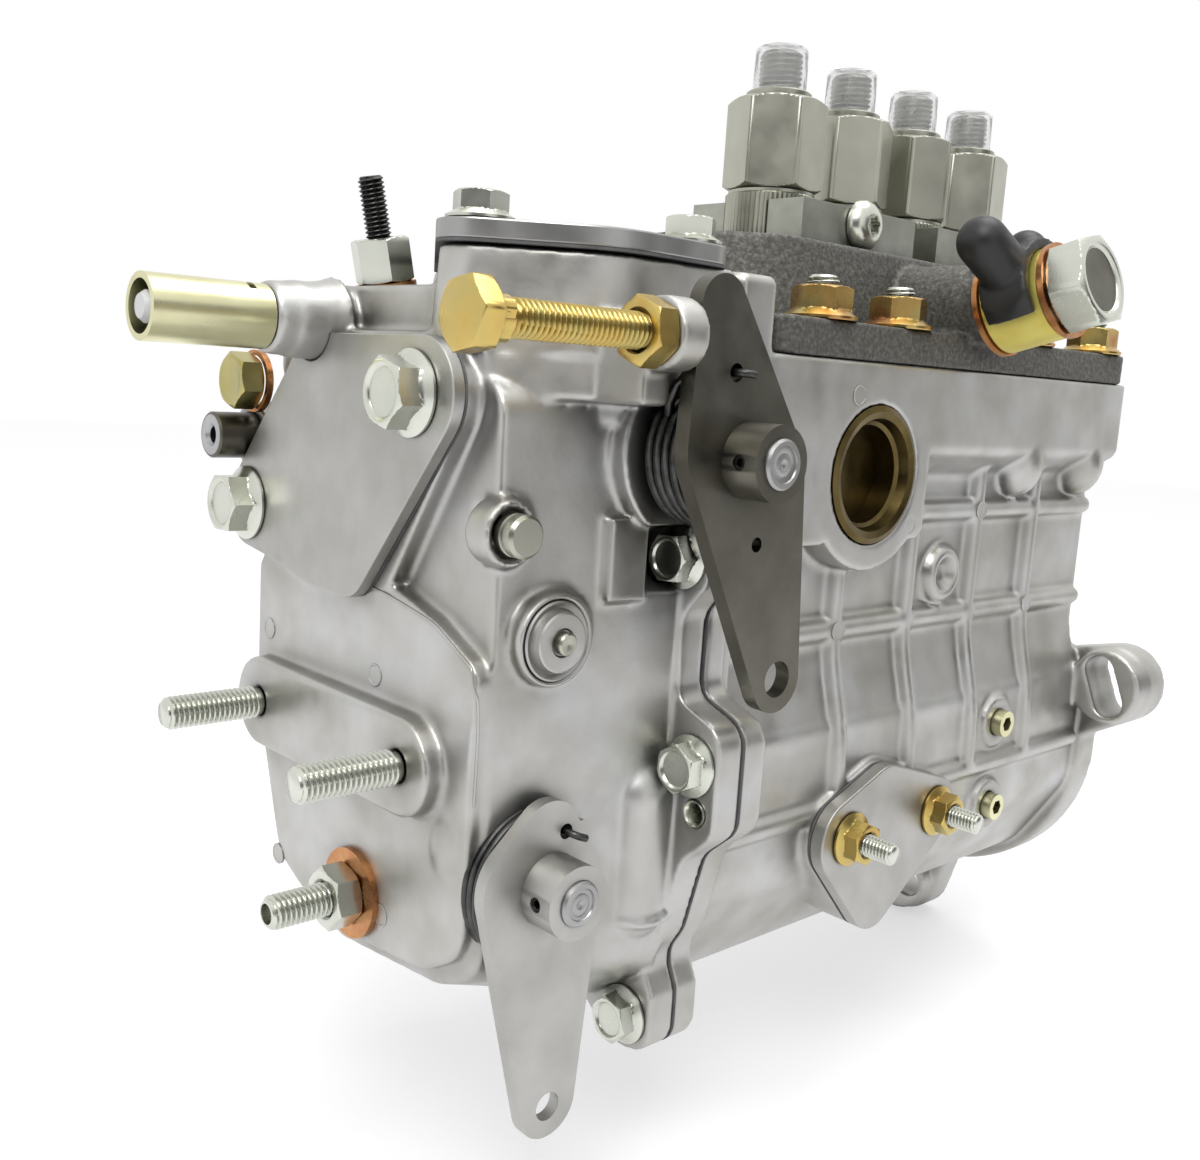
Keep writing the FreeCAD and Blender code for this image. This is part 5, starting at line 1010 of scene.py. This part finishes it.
def joint_thread():
    """The wall of the small threaded hole under the joint bolt."""
    thread = Piece("joint_thread")
    rings = [(0, 3.1), (-0.3, 3.0), (-0.3, 2.8), (0.9, 2.1), (6.8, 2.1), (6.8, 3.1)]
    thread.turn(rings, HOLE_AT, TO_DRIVE, count=SMALL_ROUND, closed=True)
    thread.make(LOOKS["zinc_steel"])


# The levers with their springs and shafts.
def lever_spring():
    """Close black turns behind the speed lever."""
    wire, mean, turns, first_y, last_y = 1.15, 14, 4.5, -53.7, -64.2
    steps = int(turns * 44)
    path = []
    for index in range(steps + 1):
        share = index / steps
        angle = 2 * math.pi * turns * share
        path.append((SPEED_HUB[0] + mean * math.cos(angle), first_y + (last_y - first_y) * share,
                     SPEED_HUB[1] + mean * math.sin(angle)))
    coil = Piece("lever_coil")
    coil.sweep(path, wire)
    coil.make(LOOKS["dark_steel"], nodes=("lever_spring",), sharp=SOFT_SHARP)


def bent_wire(name, path, wire, body="pump"):
    """A bent end of a spring."""
    hook = Piece(name)
    hook.sweep(path, wire)
    hook.make(LOOKS["dark_steel"], body, sharp=SOFT_SHARP)


def hooks():
    """The bent ends of the two lever springs."""
    x, z = -216.9, 115.6
    upper = [(x + 2, -62, z - 3), (x + 1, -64, z - 1), (x, -66, z), (x, -69.8, z), (x + 0.3, -71, z),
             (x + 1.2, -71.6, z - 0.1), (x + 2.6, -71.7, z - 0.2)]
    bent_wire("lever_spring_hook", upper, 0.85, "speed_lever")
    case_end = [(-222.4, -56.5, 104.5), (-224, -58, 109), (-224.6, -60.5, 113), (-224.2, -63.5, 115.4),
                (-223.6, -66, 115.6)]
    bent_wire("case_spring_hook", case_end, 1.1)
    stop_coil()
    x, z = STOP_HOLE
    lower = [(x, -50.2, z), (x, -53.4, z), (x + 0.3, -54.4, z - 0.1), (x + 1.4, -54.9, z - 0.6),
             (x + 3, -55, z - 1.2)]
    bent_wire("stop_spring_hook", lower, 0.8, "stop_lever")


def stop_coil():
    """The part of the stop lever's coil that is seen behind its plate."""
    wire, mean, first, last, steps = 0.9, 16.4, 105, 235, 24
    angles = [math.radians(first + (last - first) * index / steps) for index in range(steps + 1)]
    coil = Piece("stop_spring_coil")
    for y in (-44.2, -46, -47.8):
        coil.sweep([(STOP_HUB[0] + mean * math.cos(angle), y, STOP_HUB[1] + mean * math.sin(angle))
                    for angle in angles], wire)
    coil.make(LOOKS["dark_steel"], sharp=SOFT_SHARP)


def plates():
    bevelled("speed_lever", 0.35, "speed_lever_plate", LOOKS["lever_steel"], "speed_lever")
    hole = Piece("hole")
    hole.turn([(0, 1.7), (12, 1.7)], (STOP_HOLE[0], -46, STOP_HOLE[1]), TO_LEVERS, count=32)
    bevelled("stop_lever", 0.35, "stop_lever_plate", LOOKS["plate_steel"], "stop_lever", hole)
    for node, width, finish, slot in (("rear_cover", 0.3, "plate_steel", "cover_steel"),
                                      ("side_cover", 0.4, "plate_steel", "cover_steel"),
                                      ("top_cover", 0.4, "cover_steel", "cover_steel")):
        bevelled(node, width, node + "_plate", LOOKS[finish])
    bevelled("lock_bars", 0.4, "lock_bar_pair", LOOKS["lock_bar_steel"])


def shafts():
    """The turned ends of the two lever shafts, and the screws that clamp the hubs."""
    for lever, (x, z), end_y, radius in (
            ("speed_lever", SPEED_HUB, -78.2, 5.35),
            ("stop_lever", STOP_HUB, -61, 5)):
        name = lever + "_shaft"
        shaft = Piece(name + "_turned")
        rings = [(-24, radius), (-0.2, radius), (0.4, radius - 0.1), (0.9, radius - 0.6),
                 (0.9, radius - 1.5), (0.55, radius - 1.7), (0.55, 2.6), (0.45, 2.4), (0.55, 2.2),
                 (0.55, 1.2), (0.4, 1.0), (0.2, 0.05)]
        shaft.turn(rings, (x, end_y, z), TO_LEVERS)
        shaft.make(LOOKS["cover_steel"], lever, (name,))
        screw = Piece(name + "_set_screw")
        key = hexed(1.2, 1.7)
        socket = [(0, 1.7), (1.2, 1.7), (1.4, 1.5), (1.4, key), (0.4, key), (0.4, 0.05)]
        screw.turn(socket, (x - 6, end_y + 4.6, z), TO_GOVERNOR, count=SMALL_ROUND)
        screw.make(LOOKS["dark_steel"], lever)


def shaft_nut():
    """The nut that holds a coupling on the taper at the drive end."""
    nut = Piece("camshaft_nut_hex")
    nut.turn(plain_nut_rings(19, high=10, hole=6.05, wide=7, deep=0.9), (SHAFT_NUT_X, 0, 0), TO_DRIVE)
    nut.make(LOOKS["zinc_steel"], "camshaft", ("camshaft_nut",))


def dress_solids():
    """Gives every solid that stays shown the material of its slot."""
    slots = {part["node"]: part["material_slot"] for part in frame["record"]["subparts"]}
    for node, solid in frame["nodes"].items():
        solid.data.materials.clear()
        solid.data.materials.append(LOOKS[slots[node]])


make_camera()
make_world()
make_lamp("key_lamp", (-0.9, -0.6, 1.2), size=0.8, power=12)
make_lamp("top_lamp", (0.2, -0.1, 1.3), size=0.8, power=7)
make_floor()
make_card("dark_card_behind_camera", (-1.1, -0.9, 0.2), side=1.2, level=0.12)
make_card("dark_card_beside", (0.65, -1.2, 0.15), side=1.1, level=0.14)
LOOKS = make_looks()

castings()
flange_bolts()
head_fasteners()
side_fasteners()
rear_studs()
adjuster()
plug_and_nipple()
slanted_stud()
stop_screw()
outlets()
lock_screws()
inlet()
case_pins()
round_marks()
joint_thread()
lever_spring()
hooks()
plates()
shafts()
shaft_nut()
dress_solids()
